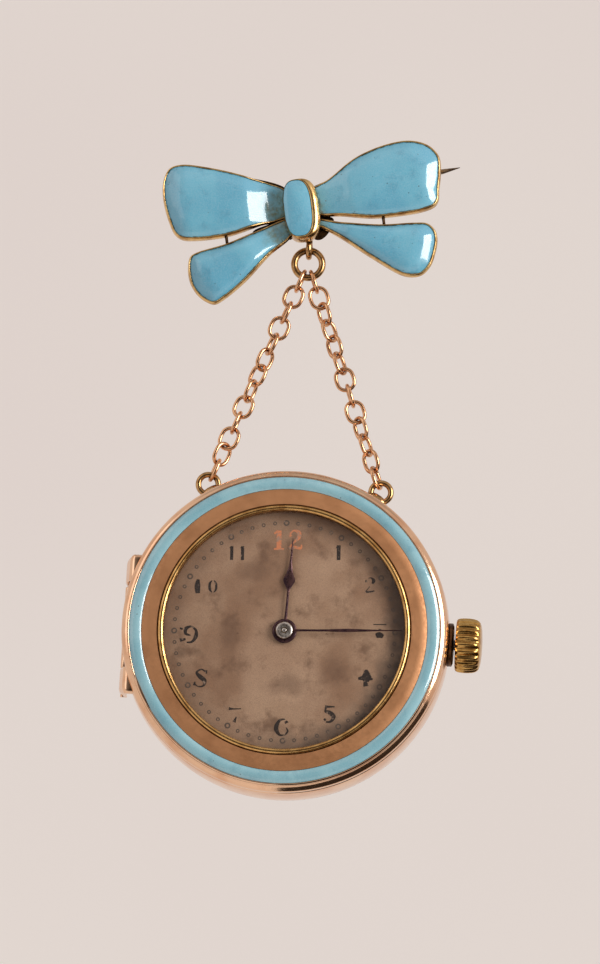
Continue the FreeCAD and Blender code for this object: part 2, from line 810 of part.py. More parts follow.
def make_case_back():
    """A dished cover with a flat middle, which the watch can lie on."""
    body = turned("rear_cover", [
        ("0", "back_end - back_wall"),
        ("back_flat", "back_end - back_wall"),
        ("case_bore - 0.8", "back_end - back_wall - 0.3"),
        ("case_bore", "case_rear + shell_gap"),
        ("bezel_radius", "case_rear + shell_gap"),
        ("bezel_radius", "case_rear + 0.22"),
        ("bezel_radius - 0.35", "case_rear + 0.55"),
        ("bezel_radius - 1.6", "case_rear + 0.85"),
        ("back_flat + 3", "back_end - 0.06"),
        ("back_flat", "back_end"),
        ("0", "back_end"),
    ])
    x = number("hinge_x")
    rear = number("case_rear + shell_gap")
    web = box_between((x - 0.4, number("hinge_y"), -1.2), (x + 0.4, rear + 0.15, 1.2))
    lug = box_between((x - 0.4, rear, -1.2), (x + 1.2, rear + 0.25, 1.2))
    pieces = [knuckle(-1.2, 1.2).fuse(web).fuse(lug)]
    node(at_watch(with_knuckles("back_cover", body, pieces)), "case_back")


def make_case_hinge_pin():
    pin = bind(doc.addObject("Part::Cylinder", "case_pin"), Radius="hinge_pin - 0.01")
    bind(pin, Height="hinge_half + hinge_half")
    at_centre = place(pin, "watch_x + hinge_x", "hang_y + hinge_y", "watch_z - hinge_half")
    node(at_centre, "case_hinge_pin")


# ---------------------------------------------------------------- crown and keyless work

def make_pendant_tube():
    """The short neck that the stem passes through, seated on the side of the case."""
    body = turned("neck_rod", [
        ("tube_start", "stem_bore"),
        ("tube_start", "tube_radius"),
        ("case_radius + 0.2", "tube_radius"),
        ("tube_end", "tube_radius - 0.25"),
        ("tube_end", "stem_bore"),
    ], "H_Axis")
    place(body, "0", "stem_y", "0")
    node(at_watch(fitted_to_case("neck", body)), "pendant_tube")


def make_crown():
    """The winding crown, fluted all round and hollow underneath."""
    body = turned("winder", [
        ("crown_start + 0.5", "stem"),
        ("crown_start + 0.5", "crown_radius - 0.4"),
        ("crown_start", "crown_radius - 0.4"),
        ("crown_start", "crown_radius - 0.12"),
        ("crown_start + 0.12", "crown_radius"),
        ("crown_end - 0.55", "crown_radius"),
        ("crown_end - 0.18", "crown_radius - 0.3"),
        ("crown_end", "crown_radius - 1.2"),
        ("crown_end", "0"),
        ("crown_end - 0.7", "0"),
        ("crown_end - 0.7", "stem"),
    ], "H_Axis")
    doc.recompute()
    before = body.Shape.Volume
    sketch = new_sketch(body, "YZ_Plane", "flute_outline")
    sketch.addGeometry(Part.Circle(V(0, number("crown_radius + 0.03"), 0), Z_AXIS, number("flute")))
    index = sketch.addConstraint(Sketcher.Constraint("Radius", 0, number("flute")))
    sketch.setExpression(f"Constraints[{index}]", formula("flute"))
    sketch.addConstraint(Sketcher.Constraint("PointOnObject", 0, 3, -2))
    height = Sketcher.Constraint("DistanceY", -1, 1, 0, 3, number("crown_radius + 0.03"))
    index = sketch.addConstraint(height)
    sketch.setExpression(f"Constraints[{index}]", formula("crown_radius + 0.03"))
    groove = cut_through(body, sketch, "one_flute")
    pattern = body.newObject("PartDesign::PolarPattern", "flute_pattern")
    pattern.Originals = [groove]
    pattern.Axis = (origin_plane(body, "X_Axis"), [""])
    pattern.Angle = 360
    pattern.Occurrences = int(number("flutes"))
    body.Tip = pattern
    doc.recompute()
    assert body.Shape.Volume < before, "the crown has no flutes"
    node(at_watch(body, "stem_y"), "crown")


def make_stem():
    body = turned("rod", [
        ("stem_start - 0.5", "0"),
        ("stem_start - 0.5", "stem - 0.2"),
        ("stem_start", "stem - 0.2"),
        ("stem_start", "stem - 0.1"),
        ("stem_start + 2.2", "stem - 0.1"),
        ("stem_start + 2.2", "stem"),
        ("stem_start + 2.8", "stem"),
        ("stem_start + 2.8", "stem - 0.15"),
        ("stem_start + 3.2", "stem - 0.15"),
        ("stem_start + 3.2", "stem"),
        ("crown_end - 0.7", "stem"),
        ("crown_end - 0.7", "0"),
    ], "H_Axis")
    node(at_watch(body, "stem_y"), "winding_stem")


def make_setting_lever():
    """A flat lever with a fork that sits in the stem's groove."""
    x = number("stem_start + 3.0")
    y = number("stem_y")
    lever = Part.makeBox(0.3, 0.24, 3.0, V(x - 0.15, y - 0.12, -2.8))
    lever = lever.fuse(disc(0.55, y - 0.12, 0.24, x - 0.15, -2.8))
    neck = Part.makeCylinder(number("stem - 0.12"), 1, V(x - 0.5, y, 0), X_AXIS)
    upper = box_between((x - 1, y - 1, 0), (x + 1, y + 1, 1))
    node(at_watch(shaped("lever", lever.cut(neck).cut(upper))), "setting_lever")


def make_winding_pinion():
    """A toothed collar that the stem drives, its teeth under the crown wheel's edge."""
    teeth = gear((WINDING[0], 0.144), 0, 0.6)
    bore = disc(number("stem - 0.1 + 0.02"), 0, 0.6)
    under_rim = CROWN_WHEEL[0] + mesh_distance(CROWN_TEETH, (0, 0)) - 0.3
    along = FreeCAD.Rotation(Z_AXIS, -90)
    collar = shaped("collar", teeth.cut(bore))
    node(at_watch(collar, "stem_y", (under_rim, 0.0), along), "winding_pinion")


def make_winding_wheels():
    """Crown wheel and ratchet wheel, on top of the bridge."""
    level = number("bridge_rear + 0.02")
    thick = 0.25
    toward = math.degrees(math.atan2(CROWN_WHEEL[1] - BARREL[1], CROWN_WHEEL[0] - BARREL[0]))
    half_pitch = 180.0 / CROWN_TEETH[0]
    crown = gear(CROWN_TEETH, level, thick, toward + 180 + half_pitch).cut(disc(0.53, level, thick))
    node(at_watch(shaped("crown_gear", crown), spot=CROWN_WHEEL), "crown_wheel")
    ratchet = gear(RATCHET, level, thick, toward).cut(disc(number("arbor"), level, thick))
    node(at_watch(shaped("ratchet_gear", ratchet), spot=BARREL), "ratchet_wheel")


# ---------------------------------------------------------------- movement

def make_main_plate():
    """The plate that everything stands on, drilled for every pivot and screw."""
    body = turned("base", [
        ("0", "plate_front"),
        ("seat_radius - 0.05", "plate_front"),
        ("seat_radius - 0.05", "plate_seat + 0.02"),
        ("plate_radius", "plate_seat + 0.02"),
        ("plate_radius", "plate_rear"),
        ("0", "plate_rear"),
    ])
    holes = [(*spot, "pivot + 0.02") for spot in (THIRD, FOURTH, ESCAPE, BALANCE, PALLET)]
    holes += [(*CENTRE, "0.3"), (*BARREL, "arbor - 0.18")]
    holes += [(*spot, "screw") for spot in PILLARS]
    drilled(body, holes, "pivot_holes")
    near = "7.3"
    far = "8.9"
    windowed(body, [
        (near, "0 - stem_window"), (far, "0 - stem_window"),
        (far, "stem_window"), (near, "stem_window"),
    ], "pinion_window")
    post = shaped("minute_post", disc(0.2, -1.3, 0.5, *MINUTE))
    plate = doc.addObject("Part::Fuse", "base_with_post")
    plate.Base = body
    plate.Tool = post
    node(at_watch(plate), "main_plate")


def make_bridge():
    """One large bridge on five pillars. It is open round the balance and over the stem."""
    front = number("bridge_front")
    rear = number("bridge_rear")
    gap = number("plate_rear")
    bridge = disc(number("bridge_radius"), front, rear - front)
    bridge = bridge.cut(disc(number("balance_opening"), front, rear - front, *BALANCE))
    low = number("stem_window")
    bridge = bridge.cut(box_between((7.3, front, -low), (8.9, rear, low)))
    pivots = [THIRD, FOURTH, ESCAPE, PALLET, CENTRE]
    for x, z in pivots:
        bridge = bridge.cut(disc(number("pivot + 0.02"), front, rear - front, x, z))
    bridge = bridge.cut(disc(number("arbor + 0.02"), front, rear - front, *BARREL))
    bridge = bridge.fuse(disc(0.5, rear, 0.29, *CROWN_WHEEL))
    for x, z in PILLARS:
        bridge = bridge.fuse(disc(number("pillar"), gap, front - gap, x, z))
        bridge = bridge.cut(disc(number("screw"), gap, rear - gap, x, z))
    node(at_watch(shaped("bridge", bridge)), "train_bridge")


def make_screws():
    """Five screws that hold the bridge down on its pillars."""
    rear = number("bridge_rear")
    screws = []
    for x, z in PILLARS:
        shank = disc(number("screw"), number("plate_rear - 0.7"), rear - number("plate_rear - 0.7"), x, z)
        head = disc(number("screw_head"), rear, 0.24, x, z)
        slot = box_between((x - 1, rear + 0.12, z - 0.06), (x + 1, rear + 1, z + 0.06))
        screws.append(shank.fuse(head).cut(slot))
    node(at_watch(shaped("screws", Part.makeCompound(screws))), "bridge_screws")


def make_balance_cock():
    """A tapered arm from its foot on the bridge to the balance's upper pivot."""
    rear = number("bridge_rear")
    thick = number("cock_rear") - rear
    foot = disc(1.1, rear, thick, *COCK_FOOT)
    head = disc(0.8, rear, thick, *BALANCE)
    dx = BALANCE[0] - COCK_FOOT[0]
    dz = BALANCE[1] - COCK_FOOT[1]
    length = math.hypot(dx, dz)
    across = (-dz / length, dx / length)
    corners = []
    for spot, half in ((COCK_FOOT, 0.9), (BALANCE, 0.6)):
        for sign in (1, -1):
            corners.append((spot[0] + sign * half * across[0], spot[1] + sign * half * across[1]))
    arm = prism([corners[0], corners[1], corners[3], corners[2]], rear, thick)
    cock = foot.fuse(head).fuse(arm).cut(disc(number("pivot + 0.02"), rear, thick, *BALANCE))
    cock = cock.cut(disc(number("pivot + 0.02"), rear, 0.2, *PALLET))
    node(at_watch(shaped("cock", cock.removeSplitter())), "balance_cock")


def make_barrel():
    """The mainspring barrel: a toothed drum with a lid, its spring and its arbor."""
    front = number("barrel_front")
    rear = number("barrel_rear")
    wall = number("barrel_wall")
    arbor = number("arbor")
    radius = number("barrel_radius")
    facing = math.degrees(math.atan2(-BARREL[1], -BARREL[0]))
    drum = gear(BARREL_TEETH, front, 0.22, facing).fuse(disc(radius, front, rear - front))
    drum = drum.cut(disc(radius - wall, front + 0.15, rear - front - 0.3))
    drum = drum.cut(disc(arbor + 0.02, front, rear - front))
    spring = spiral(arbor + 0.3, radius - wall - 0.15, 7, 0.12, front + 0.2, rear - front - 0.4)
    post = disc(arbor, front - 0.02, number("bridge_rear + 0.27") - front + 0.02)
    post = post.fuse(disc(arbor - 0.2, number("plate_front") + 0.2, 1))
    for name, shape in (("mainspring_barrel", drum), ("mainspring", spring), ("barrel_arbor", post)):
        node(at_watch(shaped(name + "_made", shape), spot=BARREL), name)


def wheel_part(name, spot, wheel, wheel_at, wheel_phase, pinion, pinion_span, pinion_phase):
    """A wheel and the pinion on its arbor, as one piece."""
    teeth, module = wheel
    rim = teeth * module / 2 - 0.45
    body = spoked(gear(wheel, wheel_at, 0.15, wheel_phase), rim, 0.6, wheel_at, 0.15, 5)
    low, high = pinion_span
    body = body.fuse(gear(pinion, low, high - low, pinion_phase))
    body = body.fuse(staff(0.22, 0.15, 1.25, -0.6, 1.8))
    node(at_watch(shaped(name + "_made", body), spot=spot), name)


def make_train():
    """Third and fourth wheels, each meshing with the next arbor's pinion."""
    half_third = 180.0 / THIRD_PINION[0]
    wheel_part("third_wheel", THIRD, THIRD_WHEEL, 0.25, -75, THIRD_PINION, (0.5, 1.24), half_third)
    half_fourth = 180.0 / FOURTH_PINION[0]
    wheel_part("fourth_wheel", FOURTH, FOURTH_WHEEL, 0.65, -70, FOURTH_PINION, (0.2, 0.6),
               105 + half_fourth)


def make_centre_wheel():
    """The wheel that turns once an hour. Its long arbor reaches the hands."""
    rim = CENTRE_WHEEL[0] * CENTRE_WHEEL[1] / 2 - 0.45
    body = spoked(gear(CENTRE_WHEEL, 1.1, 0.15, 180), rim, 0.6, 1.1, 0.15, 5)
    facing = math.degrees(math.atan2(BARREL[1], BARREL[0])) + 180.0 / CENTRE_PINION[0]
    body = body.fuse(gear(CENTRE_PINION, 0.15, 0.95, facing))
    body = body.fuse(disc(0.25, number("minute_hand_y"), 3.5))
    body = body.fuse(disc(number("pivot"), 1.1, 0.7))
    node(at_watch(shaped("hour_arbor", body)), "centre_wheel")


def make_escapement():
    """Escape wheel, pallet fork and the balance with its spring."""
    points = []
    step = 2 * math.pi / ESCAPE_TEETH
    for tooth in range(ESCAPE_TEETH):
        for offset, r in ((0.0, 1.0), (0.28, ESCAPE_RADIUS), (0.42, ESCAPE_RADIUS - 0.06), (0.5, 1.0)):
            angle = (tooth + offset) * step
            points.append((r * math.cos(angle), r * math.sin(angle)))
    wheel = spoked(prism(points, 0.25, 0.15), 0.85, 0.4, 0.25, 0.15, 4)
    wheel = wheel.fuse(gear(ESCAPE_PINION, 0.5, 0.6, 110 + 180.0 / ESCAPE_PINION[0]))
    wheel = wheel.fuse(staff(0.15, 0.15, 1.25, -0.6, 1.8))
    node(at_watch(shaped("escape", wheel), spot=ESCAPE), "escape_wheel")

    x, z = PALLET
    fork = prism([(x - 0.25, z - 1.1), (x + 0.1, z - 1.2), (x + 0.2, z - 0.15), (x + 2.6, z + 0.2),
                  (x + 2.6, z + 0.5), (x + 0.2, z + 0.2), (x + 0.0, z + 1.3), (x - 0.3, z + 1.2)],
                 0.5, 0.15)
    stone_heights = ((x - 0.28, z - 1.15), (x - 0.3, z + 1.15))
    for sx, sz in stone_heights:
        fork = fork.fuse(box_between((sx - 0.12, 0.22, sz - 0.1), (sx + 0.12, 0.55, sz + 0.1)))
    rod = staff(0.16, 0.15, 1.25, -0.6, 1.8)
    rod.translate(V(x, 0, z))
    node(at_watch(shaped("fork", fork.fuse(rod))), "pallet_fork")

    radius = number("balance_radius")
    rim = tube(radius, radius - 0.32, 0.75, 0.3)
    bar = box_between((-radius + 0.2, 0.8, -0.2), (radius - 0.2, 0.95, 0.2))
    post = staff(0.2, 0.15, 1.9, -0.6, 2.4)
    rim = rim.fuse(bar).fuse(disc(0.42, 0.2, 0.12)).fuse(post)
    node(at_watch(shaped("balance", rim), spot=BALANCE), "balance_wheel")
    coil = spiral(0.3, 1.6, 8, 0.05, 1.6, 0.15)
    node(at_watch(shaped("coil", coil), spot=BALANCE), "hairspring")


def make_motion_work():
    """Cannon pinion, minute wheel and hour wheel, between plate and dial."""
    toward = math.degrees(math.atan2(MINUTE[1], MINUTE[0]))
    bore = disc(0.27, -3, 3)
    cannon = gear(CANNON, -1.05, 0.15, toward).fuse(disc(0.4, number("minute_hand_y") - 0.08, 1.4))
    node(at_watch(shaped("cannon", cannon.cut(bore))), "cannon_pinion")
    minute = gear(MINUTE_WHEEL, -1.05, 0.15, toward + 180 + 180.0 / MINUTE_WHEEL[0])
    minute = minute.fuse(gear(MINUTE_PINION, -1.3, 0.25, toward + 180)).cut(disc(0.22, -2, 2))
    node(at_watch(shaped("minute_gear", minute), spot=MINUTE), "minute_wheel")
    hour = gear(HOUR_WHEEL, -1.3, 0.15, toward + 180.0 / HOUR_WHEEL[0])
    hour = hour.fuse(disc(0.62, number("hour_hand_y"), 0.85))
    node(at_watch(shaped("hour_gear", hour.cut(disc(0.43, -3, 3)))), "hour_wheel")


# ---------------------------------------------------------------- dial and hands

def make_dial():
    body = turned("dial_disc", [
        ("dial_hole", "dial_seat - 0.02"),
        ("dial_hole", "dial_front"),
        ("dial_radius", "dial_front"),
        ("dial_radius", "dial_seat - 0.02"),
    ])
    node(at_watch(body), "dial")


def hand_blank(length, shape, front):
    """A hand that points to 12: pairs of (distance from the centre, half width)."""
    right = [(half, reach) for reach, half in shape] + [(0.0, length)]
    left = [(-half, reach) for reach, half in reversed(shape)]
    return prism(right + left, front, number("hand_thick"))


def make_hands():
    """The hour hand has a drop-shaped swelling; the minute hand is a fine needle."""
    front = number("hour_hand_y")
    length = number("hour_hand_length")
    drop = [(0, 0.3), (2.9, 0.14), (3.8, 0.42), (4.3, 0.5), (4.8, 0.42), (5.3, 0.2), (7.6, 0.07)]
    hour = hand_blank(length, drop, front).fuse(disc(1.0, front, number("hand_thick")))
    hour = hour.cut(disc(0.62, front, 1))
    past_twelve = FreeCAD.Rotation(Y_AXIS, 7.5)
    node(at_watch(shaped("hour_pointer", hour), turn=past_twelve), "hour_hand")
    front = number("minute_hand_y")
    length = number("minute_hand_length")
    needle = [(0, 0.2), (3.6, 0.1), (4.4, 0.13), (5.4, 0.2), (6.4, 0.13), (9.6, 0.04)]
    minute = hand_blank(length, needle, front).fuse(disc(0.65, front, number("hand_thick")))
    minute = minute.cut(disc(0.4, front, 1))
    quarter_past = FreeCAD.Rotation(Y_AXIS, 90)
    node(at_watch(shaped("minute_pointer", minute), turn=quarter_past), "minute_hand")


# ---------------------------------------------------------------- the whole watch

def make_brooch():
    make_ribbons()
    make_knot()
    make_pin_hinge()
    make_pin_stem()
    make_pin_catch()
    make_drop_eye()


def make_chain():
    make_jump_ring()
    link = one_link()
    for level in range(1, int(number("chain_levels")) + 1):
        make_chain_level(level, link)


def make_case():
    make_case_middle()
    make_bezel()
    make_bezel_enamel()
    make_crystal()
    make_case_back()
    make_case_hinge_pin()
    make_eyelets()


def make_movement():
    make_main_plate()
    make_bridge()
    make_screws()
    make_balance_cock()
    make_barrel()
    make_centre_wheel()
    make_train()
    make_escapement()
    make_motion_work()
    make_setting_lever()
    make_winding_pinion()
    make_winding_wheels()


def write_parts():
    """Checks every object, then writes each sub-part to its own file."""
    doc.recompute()
    for thing in doc.Objects:
        assert not {"Invalid", "Error"} & set(thing.State), thing.Label
    os.makedirs("parts", exist_ok=True)
    for thing in nodes:
        shape = thing.Shape
        assert not shape.isNull() and shape.isValid(), thing.Label
        shape.exportStep(f"parts/{thing.Label}.step")


make_brooch()
make_chain()
make_case()
doc.recompute()
make_pendant_tube()
make_crown()
make_stem()
make_dial()
make_hands()
make_movement()
write_parts()
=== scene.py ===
import bpy
import bmesh
import math
from mathutils import Matrix, Vector, noise


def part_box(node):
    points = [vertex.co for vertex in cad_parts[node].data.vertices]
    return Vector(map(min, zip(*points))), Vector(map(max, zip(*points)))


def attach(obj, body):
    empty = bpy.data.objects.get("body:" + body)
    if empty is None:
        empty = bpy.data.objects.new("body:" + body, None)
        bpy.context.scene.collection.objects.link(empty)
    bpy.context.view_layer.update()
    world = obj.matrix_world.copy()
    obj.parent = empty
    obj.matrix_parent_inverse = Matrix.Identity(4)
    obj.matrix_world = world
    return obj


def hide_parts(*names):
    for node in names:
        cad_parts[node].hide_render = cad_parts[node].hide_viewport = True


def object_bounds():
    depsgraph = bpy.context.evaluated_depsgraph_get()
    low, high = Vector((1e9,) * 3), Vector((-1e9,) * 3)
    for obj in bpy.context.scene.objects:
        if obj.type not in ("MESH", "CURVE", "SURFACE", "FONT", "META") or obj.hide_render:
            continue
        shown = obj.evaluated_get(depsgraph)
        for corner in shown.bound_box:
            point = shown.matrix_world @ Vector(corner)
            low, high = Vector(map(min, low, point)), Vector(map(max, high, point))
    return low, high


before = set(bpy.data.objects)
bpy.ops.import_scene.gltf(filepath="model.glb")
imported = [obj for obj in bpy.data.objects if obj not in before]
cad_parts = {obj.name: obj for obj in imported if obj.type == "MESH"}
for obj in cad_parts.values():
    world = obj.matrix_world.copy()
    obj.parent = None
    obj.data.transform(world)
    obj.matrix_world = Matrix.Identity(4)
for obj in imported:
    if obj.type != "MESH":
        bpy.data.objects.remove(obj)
CAD_LOW, CAD_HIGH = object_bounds()
MM = 0.001


def box(node):
    """The low and high corners of a CAD node's box, in millimetres."""
    return [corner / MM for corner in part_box(node)]


def middle(node):
    low, high = box(node)
    return (low + high) / 2


KNOT = middle("bow_knot")
WATCH = middle("dial")
RING = middle("jump_ring")
HINGE = middle("case_hinge_pin")
BOW_BACK = box("bow_knot")[1].y
BOW_TILT = math.radians(10)

# The case, in millimetres: its levels along Y, its radii, and the barrels of its hinge.
WATCH_Y = box("bezel")[0].y + 3.02
BAND_FRONT, BAND_REAR = WATCH_Y - 1.6, WATCH_Y + 2.4
BEZEL_SEAM, BACK_SEAM = WATCH_Y - 1.62, WATCH_Y + 2.42
PLATE_SEAT, DIAL_SEAT = WATCH_Y - 0.82, WATCH_Y - 1.33
BAND_RADIUS, COVER_RADIUS = 14.0, 13.86
HINGE_HALF = box("case_hinge_pin")[1].z - HINGE.z
HINGE_BARREL = 0.33
BAND_BARREL = (1.3, 3.5)
BEZEL_BARREL = (3.7, HINGE_HALF)
BACK_BARREL = 1.2

# Outlines of the bow's four ribbons, in millimetres from the middle of the knot, with the bow level.
LEFT_LOOP = [
    (-0.7, 1.95), (-4.3, 3.66), (-7.15, 4.72), (-9.57, 5.3), (-10.6, 5.12), (-11.2, 4.2), (-11.41, 2.63),
    (-11.14, 0.55), (-10.75, -0.65), (-10.2, -1.15), (-9.16, -1.36), (-6.35, -1.36), (-3.64, -0.78),
    (-0.7, 0.0),
]
RIGHT_LOOP = [
    (0.9, 1.6), (2.88, 2.5), (5.56, 4.1), (8.31, 4.88), (10.3, 4.92), (11.75, 4.35), (12.5, 3.3),
    (12.45, 1.8), (12.17, 0.48), (12.0, -0.5), (11.6, -1.0), (10.7, -1.27), (8.7, -1.4), (6.23, -1.32),
    (3.8, -0.82), (0.9, -0.15),
]
LEFT_TAIL = [
    (-0.8, -0.5), (-3.68, -1.25), (-6.43, -2.09), (-9.0, -2.55), (-9.68, -2.85), (-9.97, -3.8), (-9.9, -5.1),
    (-9.4, -6.2), (-8.75, -6.85), (-8.1, -7.15), (-7.3, -6.85), (-5.17, -5.42), (-2.95, -3.45), (-0.9, -1.95),
]
RIGHT_TAIL = [
    (1.0, -0.7), (3.58, -1.44), (6.82, -2.08), (9.7, -2.3), (10.85, -2.5), (11.38, -3.1), (11.48, -3.9),
    (11.15, -5.1), (10.62, -6.15), (9.85, -6.8), (9.1, -6.9), (8.2, -6.65), (5.81, -4.85), (3.6, -2.95),
    (2.1, -1.8), (1.0, -1.15),
]
# Solder that fills the corners between the ribbons behind the knot, coloured near black as painted shade.
WEBS = {
    "left": [(-0.8, 0.2), (-2.3, -0.55), (-4.1, -1.1), (-4.2, -1.6), (-2.4, -1.9), (-0.8, -2.2)],
    "right": [(0.9, 0.0), (2.0, -0.4), (2.9, -0.9), (2.7, -1.5), (2.1, -2.3), (1.5, -2.6), (1.0, -2.4)],
}
STRUTS = [(-6.44, -1.84), (7.15, -1.81)]


# ---------------------------------------------------------------- materials

def linear(red, green, blue):
    """A colour in linear light from one in 0..255 screen values."""
    def one(value):
        value /= 255
        return value / 12.92 if value <= 0.04045 else ((value + 0.055) / 1.055) ** 2.4
    return (one(red), one(green), one(blue), 1.0)


class Material:
    """A Principled material with short calls for the nodes that feed it."""

    def __init__(self, name):
        self.material = bpy.data.materials.new(name)
        self.material.use_nodes = True
        self.nodes = self.material.node_tree.nodes
        self.links = self.material.node_tree.links
        self.shader = self.nodes["Principled BSDF"]
        self.place = self.nodes.new("ShaderNodeTexCoord").outputs["Object"]

    def put(self, value, socket):
        if isinstance(value, bpy.types.NodeSocket):
            self.links.new(value, socket)
        else:
            socket.default_value = value

    def set(self, **values):
        for name, value in values.items():
            self.put(value, self.shader.inputs[name.replace("_", " ")])

    def vector(self, kind, first, second=None):
        node = self.nodes.new("ShaderNodeVectorMath")
        node.operation = kind
        self.put(first, node.inputs[0])
        if second is not None:
            node.inputs[1].default_value = second
        return node.outputs["Value" if kind == "LENGTH" else "Vector"]

    def moved(self, at=(0, 0, 0), stretch=(1, 1, 1)):
        """Object coordinates with their origin at a point in millimetres, stretched along the axes."""
        shifted = self.vector("SUBTRACT", self.place, Vector(at) * MM)
        return self.vector("MULTIPLY", shifted, stretch)

    def noise(self, size, detail=3.0, rough=0.5, place=None):
        """Noise whose features are about size millimetres across."""
        node = self.nodes.new("ShaderNodeTexNoise")
        self.put(place or self.place, node.inputs["Vector"])
        node.inputs["Scale"].default_value = 1 / (size * MM)
        node.inputs["Detail"].default_value = detail
        node.inputs["Roughness"].default_value = rough
        return node.outputs["Fac"]

    def spots(self, size):
        """Distance to the nearest of points spread about size millimetres apart."""
        node = self.nodes.new("ShaderNodeTexVoronoi")
        self.put(self.place, node.inputs["Vector"])
        node.inputs["Scale"].default_value = 1 / (size * MM)
        return node.outputs["Distance"]

    def ramp(self, value, low, high, start=0.0, end=1.0):
        node = self.nodes.new("ShaderNodeMapRange")
        node.interpolation_type = "SMOOTHSTEP"
        self.put(value, node.inputs["Value"])
        for name, number in zip(("From Min", "From Max", "To Min", "To Max"), (low, high, start, end)):
            node.inputs[name].default_value = number
        return node.outputs["Result"]

    def mix(self, part, first, second):
        node = self.nodes.new("ShaderNodeMix")
        node.data_type = "RGBA"
        self.put(part, node.inputs[0])
        self.put(first, node.inputs[6])
        self.put(second, node.inputs[7])
        return node.outputs[2]

    def math(self, kind, first, second):
        node = self.nodes.new("ShaderNodeMath")
        node.operation = kind
        self.put(first, node.inputs[0])
        self.put(second, node.inputs[1])
        return node.outputs[0]

    def times(self, first, second):
        return self.math("MULTIPLY", first, second)

    def plus(self, first, second):
        return self.math("ADD", first, second)

    def bump(self, height, depth):
        """Bump of the given depth in millimetres."""
        node = self.nodes.new("ShaderNodeBump")
        node.inputs["Strength"].default_value = 1.0
        node.inputs["Distance"].default_value = depth * MM
        self.put(height, node.inputs["Height"])
        self.links.new(node.outputs["Normal"], self.shader.inputs["Normal"])

    def stain(self, at, stretch, inner, outer):
        """1 within inner millimetres of a point and 0 beyond outer, ragged between."""
        rag = 1.2
        far = self.vector("LENGTH", self.moved(at, stretch))
        ragged = self.plus(far, self.times(self.noise(1.4, 4, 0.6), 2 * rag * MM))
        return self.ramp(ragged, (inner + rag) * MM, (outer + rag) * MM, 1.0, 0.0)

    def crevice(self, distance):
        """1 in the open and less in corners, within the distance in millimetres."""
        node = self.nodes.new("ShaderNodeAmbientOcclusion")
        node.samples = 8
        node.inputs["Distance"].default_value = distance * MM
        return node.outputs["AO"]


def polished_metal(name, bright, worn, dark, rough, grime, blotch, scratch=0.004):
    """Old polished metal: blotches of wear, grime in the corners, fine scratches in the gloss."""
    m = Material(name)
    blotches = m.noise(blotch, 5, 0.6)
    colour = m.mix(m.ramp(blotches, 0.42, 0.66), linear(*bright), linear(*worn))
    corners = m.ramp(m.crevice(0.5), 0.35, 0.85, grime, 0.0)
    patchy = m.times(corners, m.ramp(m.noise(0.35, 4), 0.3, 0.6, 0.55, 1.0))
    colour = m.mix(patchy, colour, linear(*dark))
    fine = m.noise(0.12, 4, 0.65, m.moved(stretch=(1, 1, 0.25)))
    m.set(Base_Color=colour, Metallic=1.0)
    m.set(Roughness=m.plus(m.ramp(fine, 0.3, 0.7, *rough), m.times(patchy, 0.3)))
    m.bump(m.noise(0.5, 5, 0.6), scratch)
    return m.material


def make_enamel(name, plain, deep, pale, olive_reflections=()):
    """Glossy opaque enamel: slow changes of tone, tiny pits, ripples, and a painted olive reflection near the
    given points.
    """
    m = Material(name)
    colour = m.mix(m.ramp(m.noise(4.0, 2), 0.38, 0.62), linear(*plain), linear(*pale))
    colour = m.mix(m.ramp(m.noise(1.3, 4, 0.6), 0.5, 0.75, 0.0, 0.45), colour, linear(*deep))
    pits = m.times(m.ramp(m.spots(0.8), 0.05, 0.09, 1.0, 0.0), m.ramp(m.noise(2.2, 1), 0.42, 0.5))
    colour = m.mix(m.times(pits, 0.75), colour, linear(38, 62, 70))
    seam = m.times(m.ramp(m.crevice(0.3), 0.45, 0.9, 0.9, 0.0), m.ramp(m.noise(0.5, 4), 0.42, 0.6))
    colour = m.mix(seam, colour, linear(52, 50, 36))
    # Olive patches near the given points are a painted reflection, not dirt.
    for at, stretch, outer, share in olive_reflections:
        olive_reflection = m.times(m.stain(at, stretch, 0.0, outer), share)
        olive_reflection = m.times(olive_reflection, m.ramp(m.noise(0.4, 4), 0.3, 0.65, 1.0, 0.3))
        colour = m.mix(olive_reflection, colour, linear(96, 102, 66))
    grain = m.ramp(m.noise(0.09, 2, 0.7), 0.35, 0.7, 0.0, 0.10)
    colour = m.mix(grain, colour, linear(235, 240, 240))
    m.set(Base_Color=colour, Roughness=m.ramp(m.noise(0.7, 3), 0.35, 0.7, 0.10, 0.20), Coat_Weight=0.7,
          Coat_Roughness=0.05, IOR=1.55)
    m.bump(m.math("SUBTRACT", m.noise(1.2, 2), m.times(pits, 0.6)), 0.02)
    return m.material


def make_matte_gold():
    """The satin ring of the bezel: warm, even, with a fine turned grain."""
    m = Material("satin_rose_gold")
    colour = m.mix(m.ramp(m.noise(2.4, 4), 0.4, 0.66), linear(186, 132, 90), linear(170, 118, 78))
    specks = m.ramp(m.spots(0.55), 0.04, 0.09, 0.6, 0.0)
    thin = m.times(specks, m.ramp(m.noise(1.1, 2), 0.55, 0.62))
    colour = m.mix(thin, colour, linear(90, 60, 44))
    corners = m.ramp(m.crevice(0.4), 0.4, 0.9, 0.55, 0.0)
    colour = m.mix(corners, colour, linear(120, 78, 46))
    m.set(Base_Color=colour, Metallic=0.55, Roughness=m.ramp(m.noise(0.3, 4), 0.3, 0.7, 0.42, 0.58))
    m.bump(m.noise(0.06, 3, 0.6), 0.004)
    return m.material


# Large stains on the dial: place from its centre, stretch, and the radii of the core and the edge.
DIAL_STAINS = (
    (-4.7, -0.6, (1.5, 0, 0.7), 0.2, 1.9), (0.4, -4.6, (0.7, 0, 1.3), 0.2, 1.8),
    (4.4, -3.2, (0.9, 0, 1.0), 0.1, 1.9), (-2.6, 5.2, (0.7, 0, 1.2), 0.1, 1.6),
)


